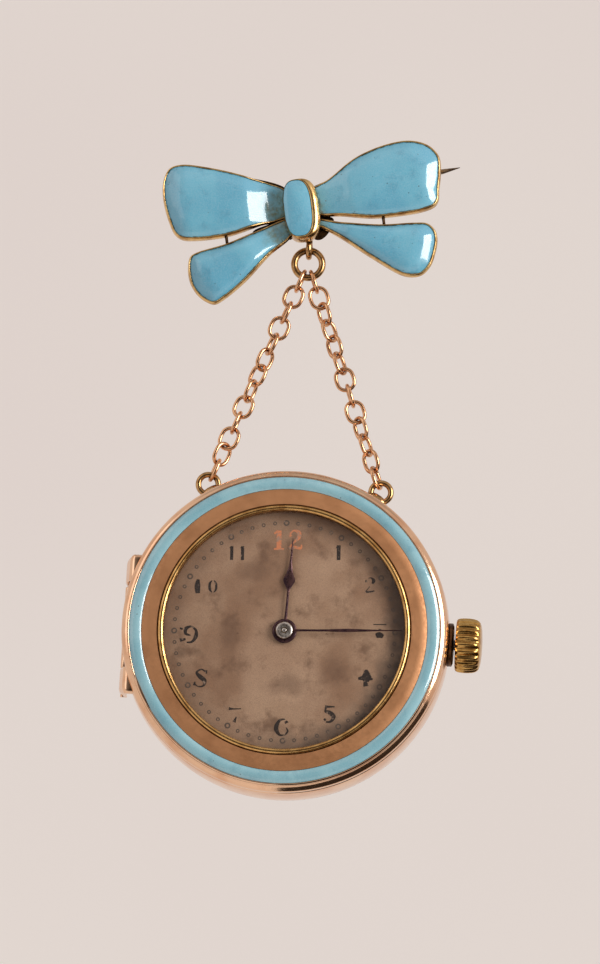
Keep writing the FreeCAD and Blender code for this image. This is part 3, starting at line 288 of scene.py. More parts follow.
def make_dial_face():
    """A silvered dial gone brown: mottled, darker along the right and lower right edge."""
    m = Material("aged_dial")
    here = m.moved(WATCH)
    out = m.vector("LENGTH", here)
    parts = m.nodes.new("ShaderNodeSeparateXYZ")
    m.put(here, parts.inputs[0])
    slope = m.times(parts.outputs["X"], 0.8)
    side = m.ramp(m.math("SUBTRACT", slope, m.times(parts.outputs["Z"], 0.35)), -0.001, 0.009)
    cloud = m.noise(4.6, 4, 0.5)
    colour = m.mix(m.ramp(cloud, 0.36, 0.62), linear(172, 138, 110), linear(146, 110, 83))
    pale = m.ramp(m.noise(6.0, 2, place=m.moved((3, 0, 9))), 0.5, 0.68, 0.0, 0.5)
    colour = m.mix(pale, colour, linear(188, 154, 126))
    stains = m.ramp(m.noise(2.6, 5, 0.6, place=m.moved((7, 0, 2))), 0.52, 0.72, 0.0, 0.75)
    colour = m.mix(stains, colour, linear(104, 72, 50))
    for x, z, stretch, inner, outer in DIAL_STAINS:
        spot = m.stain(WATCH + Vector((x, 0, z)), stretch, inner, outer)
        colour = m.mix(m.times(spot, 0.5), colour, linear(98, 68, 48))
    edge = m.ramp(m.plus(out, m.times(m.noise(1.1, 4), 0.0026)), 0.0092, 0.0118)
    dirty = m.times(edge, m.plus(0.22, m.times(side, 0.68)))
    colour = m.mix(dirty, colour, linear(70, 62, 56))
    rust = m.ramp(m.noise(0.5, 3), 0.70, 0.78, 0.0, 0.7)
    colour = m.mix(rust, colour, linear(92, 58, 44))
    grain = m.ramp(m.noise(0.09, 3, 0.8), 0.35, 0.75, 0.0, 0.42)
    colour = m.mix(grain, colour, linear(104, 82, 68))
    m.set(Base_Color=colour, Roughness=m.ramp(cloud, 0.3, 0.7, 0.5, 0.68), Metallic=0.1)
    m.bump(m.noise(0.12, 4, 0.7), 0.010)
    return m.material


def make_ink(name, tone, fade, least):
    """Printed numerals, worn through to the dial's colour in places."""
    m = Material(name)
    worn = m.ramp(m.noise(0.4, 4, 0.7), 0.58 - fade, 0.74 - fade, least, 0.9)
    colour = m.mix(worn, linear(*tone), linear(150, 124, 104))
    m.set(Base_Color=colour, Roughness=m.ramp(m.noise(0.2, 3), 0.3, 0.7, 0.45, 0.7))
    m.bump(m.noise(0.08, 3), 0.006)
    return m.material


def make_hand_steel():
    """Blued steel gone purple-brown."""
    m = Material("brown_hand_steel")
    colour = m.mix(m.ramp(m.noise(0.6, 4), 0.4, 0.65), linear(58, 36, 44), linear(84, 56, 56))
    m.set(Base_Color=colour, Metallic=0.7, Roughness=m.ramp(m.noise(0.2, 3), 0.3, 0.7, 0.26, 0.46))
    m.bump(m.noise(0.15, 3), 0.004)
    return m.material


def make_glass():
    """Thin old crystal: clear face on and mirroring at a slant, with hairlines in its gloss."""
    m = Material("watch_crystal")
    slant = m.nodes.new("ShaderNodeLayerWeight").outputs["Facing"]
    lines = m.noise(0.3, 4, 0.7, m.moved(stretch=(0.12, 1, 1)))
    m.set(Base_Color=(0.96, 0.97, 1.0, 1.0), Metallic=1.0, Roughness=m.ramp(lines, 0.4, 0.8, 0.02, 0.10))
    smears = m.ramp(m.noise(1.2, 4), 0.55, 0.8, 0.0, 0.012)
    m.set(Alpha=m.plus(m.ramp(slant, 0.35, 1.0, 0.006, 0.7), smears))
    m.bump(m.noise(3.0, 2), 0.003)
    return m.material


ROSE = polished_metal(
    "polished_rose_gold", (240, 200, 166), (228, 180, 144), (74, 42, 26), (0.07, 0.17), 0.55, 2.4, 0.003)
CHAIN_GOLD = polished_metal(
    "chain_rose_gold", (226, 176, 134), (200, 148, 108), (84, 42, 24), (0.09, 0.2), 0.85, 2.0, 0.002)
YELLOW = polished_metal(
    "old_yellow_gold", (198, 158, 108), (150, 112, 70), (44, 30, 18), (0.14, 0.30), 0.95, 0.5)
RIM_GOLD = polished_metal(
    "bow_rim_gold", (228, 192, 130), (176, 136, 84), (46, 32, 20), (0.15, 0.3), 0.85, 1.0)
CROWN_GOLD = polished_metal("crown_gold", (208, 166, 98), (170, 124, 62), (34, 20, 8), (0.12, 0.26), 1.0, 0.6)
# The pendant's neck: real tarnish, darkened further as painted shade.
TARNISHED_SHADED_NECK_GOLD = polished_metal(
    "tarnished_and_shaded_neck_gold", (122, 84, 54), (70, 44, 28), (24, 14, 8), (0.25, 0.45), 1.0, 0.5)
# Solder behind the bow's enamel, coloured near black as painted shade rather than grime.
SHADED_SOLDER = polished_metal("solder_in_painted_shade", (74, 54, 36), (46, 33, 22), (14, 10, 6), (0.35, 0.6), 1.0, 0.4)
STEEL = polished_metal("grey_steel", (176, 172, 168), (132, 124, 116), (40, 32, 28), (0.2, 0.4), 0.8, 0.4)
BOSS_STEEL = polished_metal(
    "pale_boss_steel", (214, 208, 202), (168, 158, 150), (70, 58, 54), (0.22, 0.4), 0.6, 0.4)
PIN_STEEL = polished_metal("pin_steel", (160, 134, 106), (110, 88, 70), (46, 34, 26), (0.2, 0.36), 0.6, 0.5)
GILT = polished_metal(
    "gilt_brass", (206, 170, 104), (180, 140, 80), (60, 42, 22), (0.22, 0.4), 0.6, 1.2, 0.002)
LIP_GOLD = polished_metal(
    "lip_yellow_gold", (222, 178, 114), (184, 138, 82), (66, 40, 20), (0.16, 0.3), 0.9, 1.0)
BOW_BLUES = ((95, 165, 191), (72, 134, 161), (107, 176, 199))
# The three points by the knot take the enamel's painted olive reflection.
ENAMEL = make_enamel("sky_blue_enamel", *BOW_BLUES, [
    (KNOT + Vector((-1.7, 0, -0.3)), (1, 0, 0.45), 1.7, 0.95),
    (KNOT + Vector((1.8, 0, -0.6)), (1, 0, 0.6), 1.3, 0.8),
    (KNOT + Vector((-1.8, 0, -2.2)), (0.7, 0, 1), 1.3, 0.8),
])
KNOT_ENAMEL = make_enamel("knot_blue_enamel", *BOW_BLUES)
RING_ENAMEL = make_enamel("ring_blue_enamel", (124, 172, 184), (96, 146, 164), (140, 184, 194))
MATTE = make_matte_gold()
DIAL = make_dial_face()
INK = make_ink("numeral_ink", (42, 30, 24), 0.03, 0.0)
FAINT_INK = make_ink("minute_dot_ink", (74, 62, 54), 0.04, 0.15)
RED_INK = make_ink("red_numeral_ink", (210, 122, 74), 0.12, 0.15)
HAND = make_hand_steel()
GLASS = make_glass()


# ---------------------------------------------------------------- building helpers

def piece(name, shape, material, body, replaces=(), sharp=38):
    """An object from points and faces in millimetres, cleaned, shaded and riding on a body."""
    points, faces = shape
    mesh = bpy.data.meshes.new(name)
    mesh.from_pydata([Vector(p) * MM for p in points], [], faces)
    bm = bmesh.new()
    bm.from_mesh(mesh)
    bmesh.ops.remove_doubles(bm, verts=bm.verts, dist=0.002 * MM)
    bmesh.ops.dissolve_degenerate(bm, edges=bm.edges, dist=0.0005 * MM)
    bmesh.ops.recalc_face_normals(bm, faces=bm.faces)
    bm.to_mesh(mesh)
    bm.free()
    mesh.shade_smooth()
    mesh.set_sharp_from_angle(angle=math.radians(sharp))
    thing = placed(name, mesh)
    mesh.materials.append(material)
    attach(thing, body)
    if replaces:
        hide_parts(*replaces)
    return thing


def placed(name, data):
    """A new object in the scene."""
    thing = bpy.data.objects.new(name, data)
    bpy.context.scene.collection.objects.link(thing)
    return thing


def around(count):
    """Cosine and sine of even steps round a circle."""
    return [(math.cos(2 * math.pi * k / count), math.sin(2 * math.pi * k / count)) for k in range(count)]


def across(count):
    """Even steps from -1 to 1."""
    return [-1 + 2 * i / (count - 1) for i in range(count)]


def skin(rings, loop=False, caps=False):
    """Points and quads over rings of equal counts, with the last joined to the first, or both ends filled."""
    count = len(rings[0])
    points = [p for ring in rings for p in ring]
    faces = []
    for i in range(len(rings) if loop else len(rings) - 1):
        a, b = i * count, (i + 1) % len(rings) * count
        for j in range(count):
            k = (j + 1) % count
            faces.append((a + j, a + k, b + k, b + j))
    if caps:
        faces.append(tuple(range(count)))
        faces.append(tuple(range(len(points) - count, len(points))))
    return points, faces


def joined(shapes):
    """Several shapes as one."""
    points, faces = [], []
    for more, quads in shapes:
        faces += [tuple(i + len(points) for i in quad) for quad in quads]
        points += more
    return points, faces


def lathe(profile, steps=192):
    """Rings of a profile of (radius, y) turned about the watch's axis."""
    turns = around(steps)
    return [[(WATCH.x + radius * c, y, WATCH.z + radius * s) for c, s in turns] for radius, y in profile]


def arc(middle_r, middle_y, radius, start, end, count):
    """Points on an arc of a profile: 0 degrees points outward, and 90 along its second measure."""
    points = []
    for i in range(count + 1):
        angle = math.radians(start + (end - start) * i / count)
        points.append((middle_r + radius * math.cos(angle), middle_y + radius * math.sin(angle)))
    return points


def smooth_loop(corners, per=10):
    """A closed curve through the corners."""
    count = len(corners)
    out = []
    for i in range(count):
        p0, p1, p2, p3 = (Vector(corners[(i + k - 1) % count]) for k in range(4))
        a = max((p1 - p0).length, 1e-6) ** 0.5
        b = max((p2 - p1).length, 1e-6) ** 0.5
        c = max((p3 - p2).length, 1e-6) ** 0.5
        m1 = (p2 - p1) + ((p1 - p0) / a - (p2 - p0) / (a + b)) * b
        m2 = (p2 - p1) + ((p3 - p2) / c - (p3 - p1) / (b + c)) * b
        for j in range(per):
            t = j / per
            out.append(p1 * (2 * t ** 3 - 3 * t ** 2 + 1) + m1 * (t ** 3 - 2 * t ** 2 + t)
                       + p2 * (3 * t ** 2 - 2 * t ** 3) + m2 * (t ** 3 - t ** 2))
    return out


def smoothstep(low, high, value):
    t = min(max((value - low) / (high - low), 0.0), 1.0)
    return t * t * (3 - 2 * t)


def tube(path, radius, sides):
    """Rings of a round wire along a closed path."""
    rings = []
    normal = None
    for i, point in enumerate(path):
        along = (path[(i + 1) % len(path)] - path[i - 1]).normalized()
        if normal is None:
            normal = along.orthogonal().normalized()
        normal = (normal - along * normal.dot(along)).normalized()
        side = along.cross(normal)
        rings.append([point + (normal * c + side * s) * radius for c, s in around(sides)])
    return rings


# ---------------------------------------------------------------- bow

def at_bow(x, z, y):
    """A point of the level bow, tilted and moved to the knot."""
    cos, sin = math.cos(BOW_TILT), math.sin(BOW_TILT)
    return Vector((KNOT.x + x * cos - z * sin, y, KNOT.z + x * sin + z * cos))


def nearest(point, start, end):
    """The point of a straight line's length that is nearest to a point."""
    line = end - start
    t = min(max((point - start).dot(line) / line.length_squared, 0.0), 1.0)
    return start + line * t


RIM = 0.16
PUFF = 0.52
# The tray from its back to its floor: rings as far in from the outline, and over the back or over the front.
TRAY_REAR = ((1.1, -0.12), (0.75, -0.14), (0.55, -0.04), (0.3, 0.0), (0.1, 0.0), (0.02, -0.05), (0.0, -0.14),
             (-0.08, -0.4))
TRAY_FRONT = ((-0.06, 0.2), (0.012, -0.04), (0.035, -0.08), (0.075, -0.10), (0.12, -0.085),
              (RIM - 0.01, -0.03), (RIM + 0.02, 0.14), (RIM + 0.3, 0.2))
DOME_STEPS = (0.0, 0.015, 0.04, 0.08, 0.13, 0.2, 0.3, 0.42, 0.56, 0.72, 0.88, 1.0)


def make_ribbon(name, outline, start, end, dip, reach, rise):
    """One ribbon of the bow: a gold tray with a thin raised rim, and enamel domed over it.

    It stands rise above the bow's back, and sinks by dip toward the knot over the first reach of it."""
    edge = smooth_loop(outline)
    start, end = Vector(start), Vector(end)
    spine = [nearest(p, start, end) for p in edge]
    line = (end - start).normalized()
    far = max((p - start).dot(line) for p in edge)

    def surface(p):
        """Front of the tray at a point: low by the knot, then high, rolled down at the far end."""
        along = (p - start).dot(line) / far
        fall = min(dip * (1 - min(max(along / reach, 0.0), 1.0)), rise - 0.12)
        return BOW_BACK - rise + fall + 0.25 * smoothstep(0.80, 1.02, along)

    def inward(inset):
        """The outline moved toward the spine."""
        gaps = [q - p for p, q in zip(edge, spine)]
        return [p + gap.normalized() * min(inset, gap.length * 0.96) for p, gap in zip(edge, gaps)]

    def rear_ring(inset, drop):
        return [at_bow(s.x, s.y, BOW_BACK + drop) for s in inward(inset)]

    def front_ring(inset, drop):
        return [at_bow(s.x, s.y, surface(p) + drop) for p, s in zip(edge, inward(inset))]

    def floor(drop):
        return [at_bow(q.x, q.y, surface(q) + drop) for q in spine]

    def dome_ring(part):
        """A ring of the enamel, from the rim (0) to the spine (1): puffed, and rippled near the knot."""
        points = []
        for p, q, s in zip(edge, spine, inward(RIM)):
            s = s + (q - s) * part
            full = smoothstep(0.08, 0.52, (s - start).dot(line) / far)
            height = PUFF * (0.16 + 0.84 * full) * (1 - (1 - part) ** 3.6)
            base = surface(p) + (surface(s) - surface(p)) * smoothstep(0, 0.5, part)
            ripple = 0.025 * noise.noise(Vector((s.x * 0.55, s.y * 0.55, len(name))))
            streaks = 0.03 * (1 - full) * noise.noise(Vector((s.x * 1.6, s.y * 0.7, 3.0)))
            points.append(at_bow(s.x, s.y, base - height - (ripple + streaks) * part))
        return points

    tray = [[at_bow(q.x, q.y, BOW_BACK - 0.12) for q in spine]]
    tray += [rear_ring(*step) for step in TRAY_REAR]
    tray += [front_ring(*step) for step in TRAY_FRONT]
    tray.append(floor(0.2))
    piece(name + "_tray", skin(tray), RIM_GOLD, "brooch", (name,), sharp=50)
    dome = [floor(0.16), front_ring(RIM + 0.01, 0.12), front_ring(RIM - 0.005, -0.04)]
    dome += [dome_ring(part) for part in DOME_STEPS]
    piece(name + "_enamel", skin(dome), ENAMEL, "brooch", ("bow_ribbon_enamel",), sharp=60)


def make_strut(name, x, z):
    """A short bar that joins a loop and a tail behind the enamel, thinner in its middle."""
    half, low, high = 0.17, -0.85, 0.75
    rings = []
    for part in range(9):
        t = part / 8
        pinch = 1 - 0.25 * math.sin(math.pi * t)
        up = z + low + (high - low) * t
        rings.append([at_bow(x + half * pinch * c, up, BOW_BACK - 0.45 + 0.3 * pinch * s)
                      for c, s in around(12)])
    # The strut takes the near-black solder colour, painted shade behind the enamel.
    piece(name, skin(rings, caps=True), SHADED_SOLDER, "brooch")


def oval(half_wide, half_tall, shift_x, shift_z):
    """A closed outline between an oval and a rectangle."""
    return [Vector((shift_x + math.copysign(half_wide * abs(c) ** 0.7, c),
                    shift_z + math.copysign(half_tall * abs(s) ** 0.74, s))) for c, s in around(96)]


def make_knot():
    """The knot: a deep gold cup with a rim that is wide and sloping on the right, and a domed enamel oval."""
    front = box("bow_knot")[0].y
    window = oval(1.17, 2.47, -0.03, 0.05)
    outside = oval(1.55, 2.68, 0.27, 0.0)

    def ring(part, y):
        """An outline between the enamel's window (0) and the outside of the cup (1)."""
        return [at_bow(p.x + (q.x - p.x) * part, p.y + (q.y - p.y) * part, y)
                for p, q in zip(window, outside)]

    def shrunk(part, y):
        """The window's outline, drawn in toward a short upright line (0)."""
        return [at_bow(-0.03 + (p.x + 0.03) * part, p.y * (0.3 + 0.7 * part), y) for p in window]

    cup = [shrunk(0.0, BOW_BACK), shrunk(0.7, BOW_BACK)]
    cup += [ring(part, BOW_BACK - rise) for part, rise in ((0.5, 0.0), (0.9, 0.06), (1.0, 0.3), (1.04, 0.8))]
    cup += [ring(part, front + depth) for part, depth in (
        (1.03, 0.8), (1.0, 0.66), (0.92, 0.52), (0.78, 0.41), (0.6, 0.32), (0.4, 0.26), (0.22, 0.235),
        (0.08, 0.26), (0.0, 0.33), (-0.03, 0.45))]
    cup += [shrunk(0.6, front + 0.5), shrunk(0.0, front + 0.5)]
    piece("bow_knot_cup", skin(cup), RIM_GOLD, "brooch", ("bow_knot",), sharp=50)
    dome = [shrunk(0.0, front + 0.46), shrunk(0.98, front + 0.46), shrunk(0.985, front + 0.36)]
    for part in (0.0, 0.02, 0.06, 0.12, 0.2, 0.32, 0.46, 0.62, 0.8, 1.0):
        dome.append(shrunk(0.985 * (1 - part), front + 0.29 - 0.2 * (1 - (1 - part) ** 2.2)))
    piece("bow_knot_dome", skin(dome), KNOT_ENAMEL, "brooch", ("bow_knot_enamel",), sharp=60)


def make_web(name, outline):
    """A dark plate with rounded edges between two ribbons, behind the enamel; its dark colour is painted
    shade.
    """
    edge = smooth_loop(outline, 6)
    centre = sum(edge, Vector((0, 0))) / len(edge)
    rings = []
    for part, y in ((1.0, 0.0), (0.06, 0.0), (0.01, -0.02), (0.0, -0.06), (0.02, -0.10), (0.07, -0.12),
                    (0.3, -0.13), (1.0, -0.13)):
        rings.append([at_bow(*(p + (centre - p) * part), BOW_BACK + y) for p in edge])
    piece(name, skin(rings), SHADED_SOLDER, "brooch", sharp=50)


def make_bow():
    make_ribbon("bow_left_loop", LEFT_LOOP, (-0.8, 1.5), (-8.9, 1.5), dip=1.5, reach=0.335, rise=1.0)
    make_ribbon("bow_right_loop", RIGHT_LOOP, (1.0, 0.75), (9.9, 1.8), dip=0.6, reach=0.32, rise=1.0)
    make_ribbon("bow_left_tail", LEFT_TAIL, (-0.9, -1.2), (-8.1, -4.6), dip=0.6, reach=0.42, rise=0.9)
    make_ribbon("bow_right_tail", RIGHT_TAIL, (1.1, -0.92), (9.2, -4.3), dip=0.5, reach=0.3, rise=0.9)
    for side, spot in zip(("left", "right"), STRUTS):
        make_strut("bow_strut_" + side, *spot)
        make_web("bow_web_" + side, WEBS[side])
    make_knot()


# ---------------------------------------------------------------- chain

LINK_WIRE = 0.17
LINK_HALF_WIDE = 0.925
LINK_LONG = 2.227
LINK_PITCH = 1.507
CHAIN_LEAN = math.radians(20.54)
CHAIN_START = 0.9
# Turn of each link about the chain's line, in degrees from lying flat, from the jump ring down.
LEFT_TURNS = [88, 6, 74, -8, 66, -50, 38, -72, 12, 88, 10, -46, 76]
RIGHT_TURNS = [88, -10, 56, -52, 46, -64, 6, 86, -12, 55, -62, 44, -72]


def make_link(name, node, body, centre, along, turn):
    """One oval link of round wire, turned about the chain's line."""
    flat = Vector((along.z, 0, -along.x))
    wide = flat * math.cos(turn) + Vector((0, 1, 0)) * math.sin(turn)
    mean_wide = LINK_HALF_WIDE - LINK_WIRE
    straight = LINK_LONG / 2 - LINK_WIRE - mean_wide
    path = []
    for c, s in around(56):
        lift = straight * max(-1.0, min(1.0, s * 3.0))
        path.append(centre + wide * (mean_wide * c) + along * (mean_wide * s + lift))
    wire = skin(tube(path, LINK_WIRE, 14), loop=True)
    piece(name, wire, CHAIN_GOLD, body, (node,), sharp=60)


def make_chain():
    for side, sign, turns in (("left", -1, LEFT_TURNS), ("right", 1, RIGHT_TURNS)):
        along = Vector((math.sin(sign * CHAIN_LEAN), 0, -math.cos(CHAIN_LEAN)))
        for level, turn in enumerate(turns, 1):
            centre = RING + along * (CHAIN_START + LINK_PITCH * (level - 0.5))
            make_link(f"chain_link_{side}_{level:02d}", f"chain_links_{level:02d}",
                      f"chain_level_{level:02d}", centre, along, math.radians(turn))


# ---------------------------------------------------------------- watch

def hinge_leaf(name, body, node, low, high, seam, foot, thick):
    """A barrel of the case hinge, with the leaf that rolls over to its cover at the seam."""
    sign = 1 if seam > HINGE.y else -1
    reach = abs(seam - HINGE.y)
    outline = [(-HINGE_BARREL * math.cos(math.pi * i / 16), -HINGE_BARREL * math.sin(math.pi * i / 16))
               for i in range(17)]
    outline += [(0.40, reach - 0.3), (0.44, reach - 0.08), (0.52, reach - 0.01), (foot, reach - 0.01),
                (foot, reach + thick), (0.8, reach + thick)]
    roll = 0.6
    for i in range(8):
        a = math.radians(10 + 75 * i / 7)
        outline.append((0.62 - roll * math.sin(a), reach + thick - roll + roll * math.cos(a)))
    outline += [(-0.1, reach - 0.5), (-0.24, reach - 0.95), (-HINGE_BARREL, 0.3)]
    middle_u = sum(u for u, v in outline) / len(outline)
    middle_v = sum(v for u, v in outline) / len(outline)
    free_end = 0.7
    rings = []
    for t in across(25):
        z = (low + high) / 2 + (high - low) / 2 * t
        inset = 0.16 * abs(t) ** 16
        fold = 0.5 * (max(0.0, abs(z) - HINGE_HALF + free_end) / free_end) ** 2.4
        ring = []
        for u, v in outline:
            u += (middle_u - u) * inset
            v += (middle_v - v) * inset
            u += (0.5 - u) * (fold if u < 0.5 else 0.0)
            ring.append((HINGE.x + u, HINGE.y + sign * v, WATCH.z + z))
        rings.append(ring)
    piece(name, skin(rings, caps=True), ROSE, body, (node,), sharp=35)


def hinge_barrel(name, low, high):
    """A barrel of the case hinge that belongs to the band, with its web."""
    angles = [math.radians(60 + 240 * i / 20) for i in range(21)]
    outline = [(HINGE_BARREL * math.cos(a), HINGE_BARREL * math.sin(a)) for a in angles]
    outline += [(0.9, -0.30), (0.9, 0.30)]
    rings = []
    for z, inset in ((low, 0.12), (low + 0.03, 0.04), (low + 0.1, 0.0), (high - 0.1, 0.0),
                     (high - 0.03, 0.04), (high, 0.12)):
        part = 1 - inset
        rings.append([(HINGE.x + u * part, HINGE.y + v * part, WATCH.z + z) for u, v in outline])
    piece(name, skin(rings, caps=True), ROSE, "case", ("case_middle",), sharp=35)


def both_ends(reach):
    """A stretch of the hinge below the watch's middle and its twin above."""
    near, far = reach
    return (("lower", -far, -near), ("upper", near, far))


LIP_RADIUS = 10.80


def make_bezel():
    """Bezel: polished inner lip, satin ring, polished outer roll, with two hinge leaves."""
    y = BEZEL_SEAM
    profile = (
        [(10.25, y - 0.42), (10.25, y - 0.95), (10.26, y - 1.08)]
        + arc(10.50, y - 1.10, 0.24, 190, 350, 14)
        + [(10.76, y - 1.08), (LIP_RADIUS, y - 1.10), (10.83, y - 1.19), (11.5, y - 1.14), (12.10, y - 1.07)]
        + [(12.14, y - 1.03), (12.15, y - 0.85), (12.3, y - 0.75), (13.0, y - 0.68), (13.17, y - 0.8)]
        + [(13.19, y - 0.95)]
        + arc(13.28, y - 0.90, 0.09, 200, 290, 5)
        + arc(13.16, y - 0.24, 0.72, 285, 350, 12)
        + [(13.87, y - 0.2), (13.87, y - 0.04), (13.8, y)]
        + [(12.4, y), (12.2, y - 0.2), (10.6, y - 0.3), (10.3, y - 0.34)]
    )
    ring = skin(lathe(profile), loop=True)
    bezel = piece("bezel_ring", ring, ROSE, "bezel", ("bezel",), sharp=40)
    bezel.data.materials.append(MATTE)
    bezel.data.materials.append(LIP_GOLD)
    for face in bezel.data.polygons:
        spot = face.center / MM
        radius = math.hypot(spot.x - WATCH.x, spot.z - WATCH.z)
        if LIP_RADIUS < radius < 12.13 and spot.y < y - 0.9:
            face.material_index = 1
        elif radius < LIP_RADIUS and spot.y < y - 0.4:
            face.material_index = 2
    for place, low, high in both_ends(BEZEL_BARREL):
        hinge_leaf("bezel_hinge_" + place, "bezel", "bezel", low, high, y, 1.7, 0.38)


def make_thumb_lip():
    """A small crescent at 8 o'clock on the bezel's edge, to open it with a nail."""
    rows = []
    for t in across(25):
        angle = math.radians(207 + 9 * t)
        grow = math.cos(t * math.pi / 2) ** 0.7
        row = []
        for c, s in around(12):
            r = 13.18 + 0.22 * grow * c
            row.append((WATCH.x + r * math.cos(angle), BEZEL_SEAM - 0.93 + 0.12 * grow * s,
                        WATCH.z + r * math.sin(angle)))
        rows.append(row)
    piece("bezel_thumb_lip", skin(rows), ROSE, "bezel", sharp=60)


def make_enamel_ring():
    """The blue ring, domed across its width."""
    y = BEZEL_SEAM
    profile = [(12.16, y - 0.8), (12.155, y - 0.98)]
    for i in range(9):
        t = i / 8
        profile.append((12.165 + 1.02 * t, y - 1.03 + 0.05 * t - 0.16 * math.sin(math.pi * t) ** 0.8))
    profile += [(13.195, y - 0.9), (13.15, y - 0.75)]
    ring = skin(lathe(profile), loop=True)
    piece("bezel_enamel_ring", ring, RING_ENAMEL, "bezel", ("bezel_enamel",), sharp=50)


def make_band():
    """The middle of the case: a rounded band with the seats inside it, cut flat behind the hinge."""
    profile = [(10.45, BAND_FRONT), (13.78, BAND_FRONT), (COVER_RADIUS, BAND_FRONT + 0.05)]
    for t in across(13):
        profile.append((BAND_RADIUS - 0.12 * abs(t) ** 2.2, (BAND_FRONT + BAND_REAR) / 2 + 1.93 * t))
    profile += [(COVER_RADIUS, BAND_REAR - 0.05), (13.78, BAND_REAR), (10.6, BAND_REAR), (10.6, PLATE_SEAT),
                (10.1, PLATE_SEAT), (10.1, DIAL_SEAT), (10.45, DIAL_SEAT)]
    flat, half = HINGE.x + 0.5, 6.15
    rings = []
    for ring in lathe(profile, 240):
        rings.append([(max(x, flat) if abs(z - WATCH.z) < half else x, y, z) for x, y, z in ring])
    piece("case_band", skin(rings, loop=True), ROSE, "case", ("case_middle",), sharp=40)
    for place, low, high in both_ends(BAND_BARREL):
        hinge_barrel("case_hinge_" + place, low, high)


def make_eyelet_foot(name, side):
    """A small mound of solder that fixes an eyelet to the band."""
    low, high = box("case_eyelets")
    eyelet_half = 1.1
    place = Vector((side * ((high.x - low.x) / 2 - eyelet_half), 0, high.z - eyelet_half - WATCH.z))
    out = place.normalized()
    along = Vector((out.z, 0, -out.x))
    foot = Vector((WATCH.x, (low.y + high.y) / 2, WATCH.z)) + out * (BAND_RADIUS - 0.05)
    rings = []
    for t in across(17):
        size = max(1 - abs(t) ** 2.4, 0.0) ** 0.5 + 0.02
        rings.append([foot + along * (0.95 * t) + out * (0.55 * size * s) + Vector((0, 0.46 * size * c, 0))
                      for c, s in around(16)])
    piece(name, skin(rings, caps=True), YELLOW, "case", sharp=60)


def make_back():
    """The dished back cover: rolled edge, shallow dome, and a flat that the watch can lie on."""
    seam, end = BACK_SEAM, WATCH_Y + 3.5
    profile = [(0.0, end - 0.35), (6.0, end - 0.36), (9.8, end - 0.62), (10.55, seam), (13.8, seam)]
    profile += [(radius, seam + rise) for radius, rise in (
        (COVER_RADIUS, 0.05), (13.85, 0.16), (13.78, 0.28), (13.62, 0.41), (13.35, 0.53), (12.9, 0.63),
        (12.3, 0.72), (11.3, 0.82), (10.0, 0.92), (8.6, 1.0), (7.2, 1.055), (6.2, 1.078))]
    profile += [(5.8, end), (0.0, end)]
    piece("case_back_cover", skin(lathe(profile)), ROSE, "back", ("case_back",), sharp=30)
    hinge_leaf("case_back_hinge", "back", "case_back", -BACK_BARREL, BACK_BARREL, seam, 1.2, 0.24)


# The crown from its hollow to its end: distance along it, part of its radius, part of the flutes' depth.
CROWN_PROFILE = (
    (0.5, 0.83, 0.0), (0.03, 0.83, 0.0), (0.0, 0.87, 0.0), (0.02, 0.91, 0.3), (0.10, 0.955, 0.8),
    (0.3, 0.985, 1.0), (0.7, 1.0, 1.0), (1.1, 1.0, 1.0), (1.5, 0.98, 1.0), (1.75, 0.95, 0.9),
    (1.92, 0.90, 0.6), (2.02, 0.85, 0.25), (2.10, 0.76, 0.0), (2.18, 0.6, 0.0), (2.23, 0.35, 0.0),
    (2.25, 0.0, 0.0),
)
FLUTES = 22


def make_crown_knob():
    """The winding crown: a fluted barrel with a plain domed end, hollow underneath."""
    low, high = box("crown")
    axis = middle("crown")
    size = (high.z - low.z) / 2

    def turned(along, radii):
        return [(low.x + along, axis.y + r * c, axis.z + r * s)
                for r, (c, s) in zip(radii, around(len(radii)))]

    grooves = [0.17 * (0.5 + 0.5 * math.cos(2 * math.pi * k / 12)) ** 1.4 for k in range(12)] * FLUTES
    outside = [turned(along, [max(size * part, 0.001) - depth * groove for groove in grooves])
               for along, part, depth in CROWN_PROFILE]
    inside = [turned(0.5, [size * 0.83] * 48), turned(0.5, [0.46] * 48)]
    knob = joined([skin(outside), skin(inside)])
    piece("crown_knob", knob, CROWN_GOLD, "crown", ("crown",), sharp=60)


def spline(p0, p1, p2, p3, t):
    """The curve between the middle two of four values, at the part t of the way."""
    return 0.5 * ((2 * p1) + (p2 - p0) * t + (2 * p0 - 5 * p1 + 4 * p2 - p3) * t ** 2
                  + (3 * p1 - p0 - 3 * p2 + p3) * t ** 3)


def neighbours(row, i):
    """The values before, at, after and two after a place in a row, held at its ends."""
    return row[max(i - 1, 0)], row[i], row[i + 1], row[min(i + 2, len(row) - 1)]


def stroke(pen, y, shift, size):
    """Points and faces of a flat pen stroke with changing width, in the dial's plane."""
    path = [Vector((x / 100, z / 100)) for x, z, width in pen]
    widths = [width / 100 for x, z, width in pen]
    per = 6
    fine = []
    wide = []
    for i in range(len(path) - 1):
        for j in range(per):
            t = j / per
            fine.append(spline(*neighbours(path, i), t))
            wide.append(widths[i] + (widths[i + 1] - widths[i]) * t)
    fine.append(path[-1])
    wide.append(widths[-1])
    points = []
    for i, point in enumerate(fine):
        ahead = fine[min(i + 1, len(fine) - 1)] - fine[max(i - 1, 0)]
        side = Vector((-ahead.y, ahead.x)).normalized() * wide[i] / 2
        for p in (point + side, point - side):
            points.append((shift + p.x * size, y, p.y * size))
    faces = [(2 * i, 2 * i + 1, 2 * i + 3, 2 * i + 2) for i in range(len(fine) - 1)]
    return points, faces


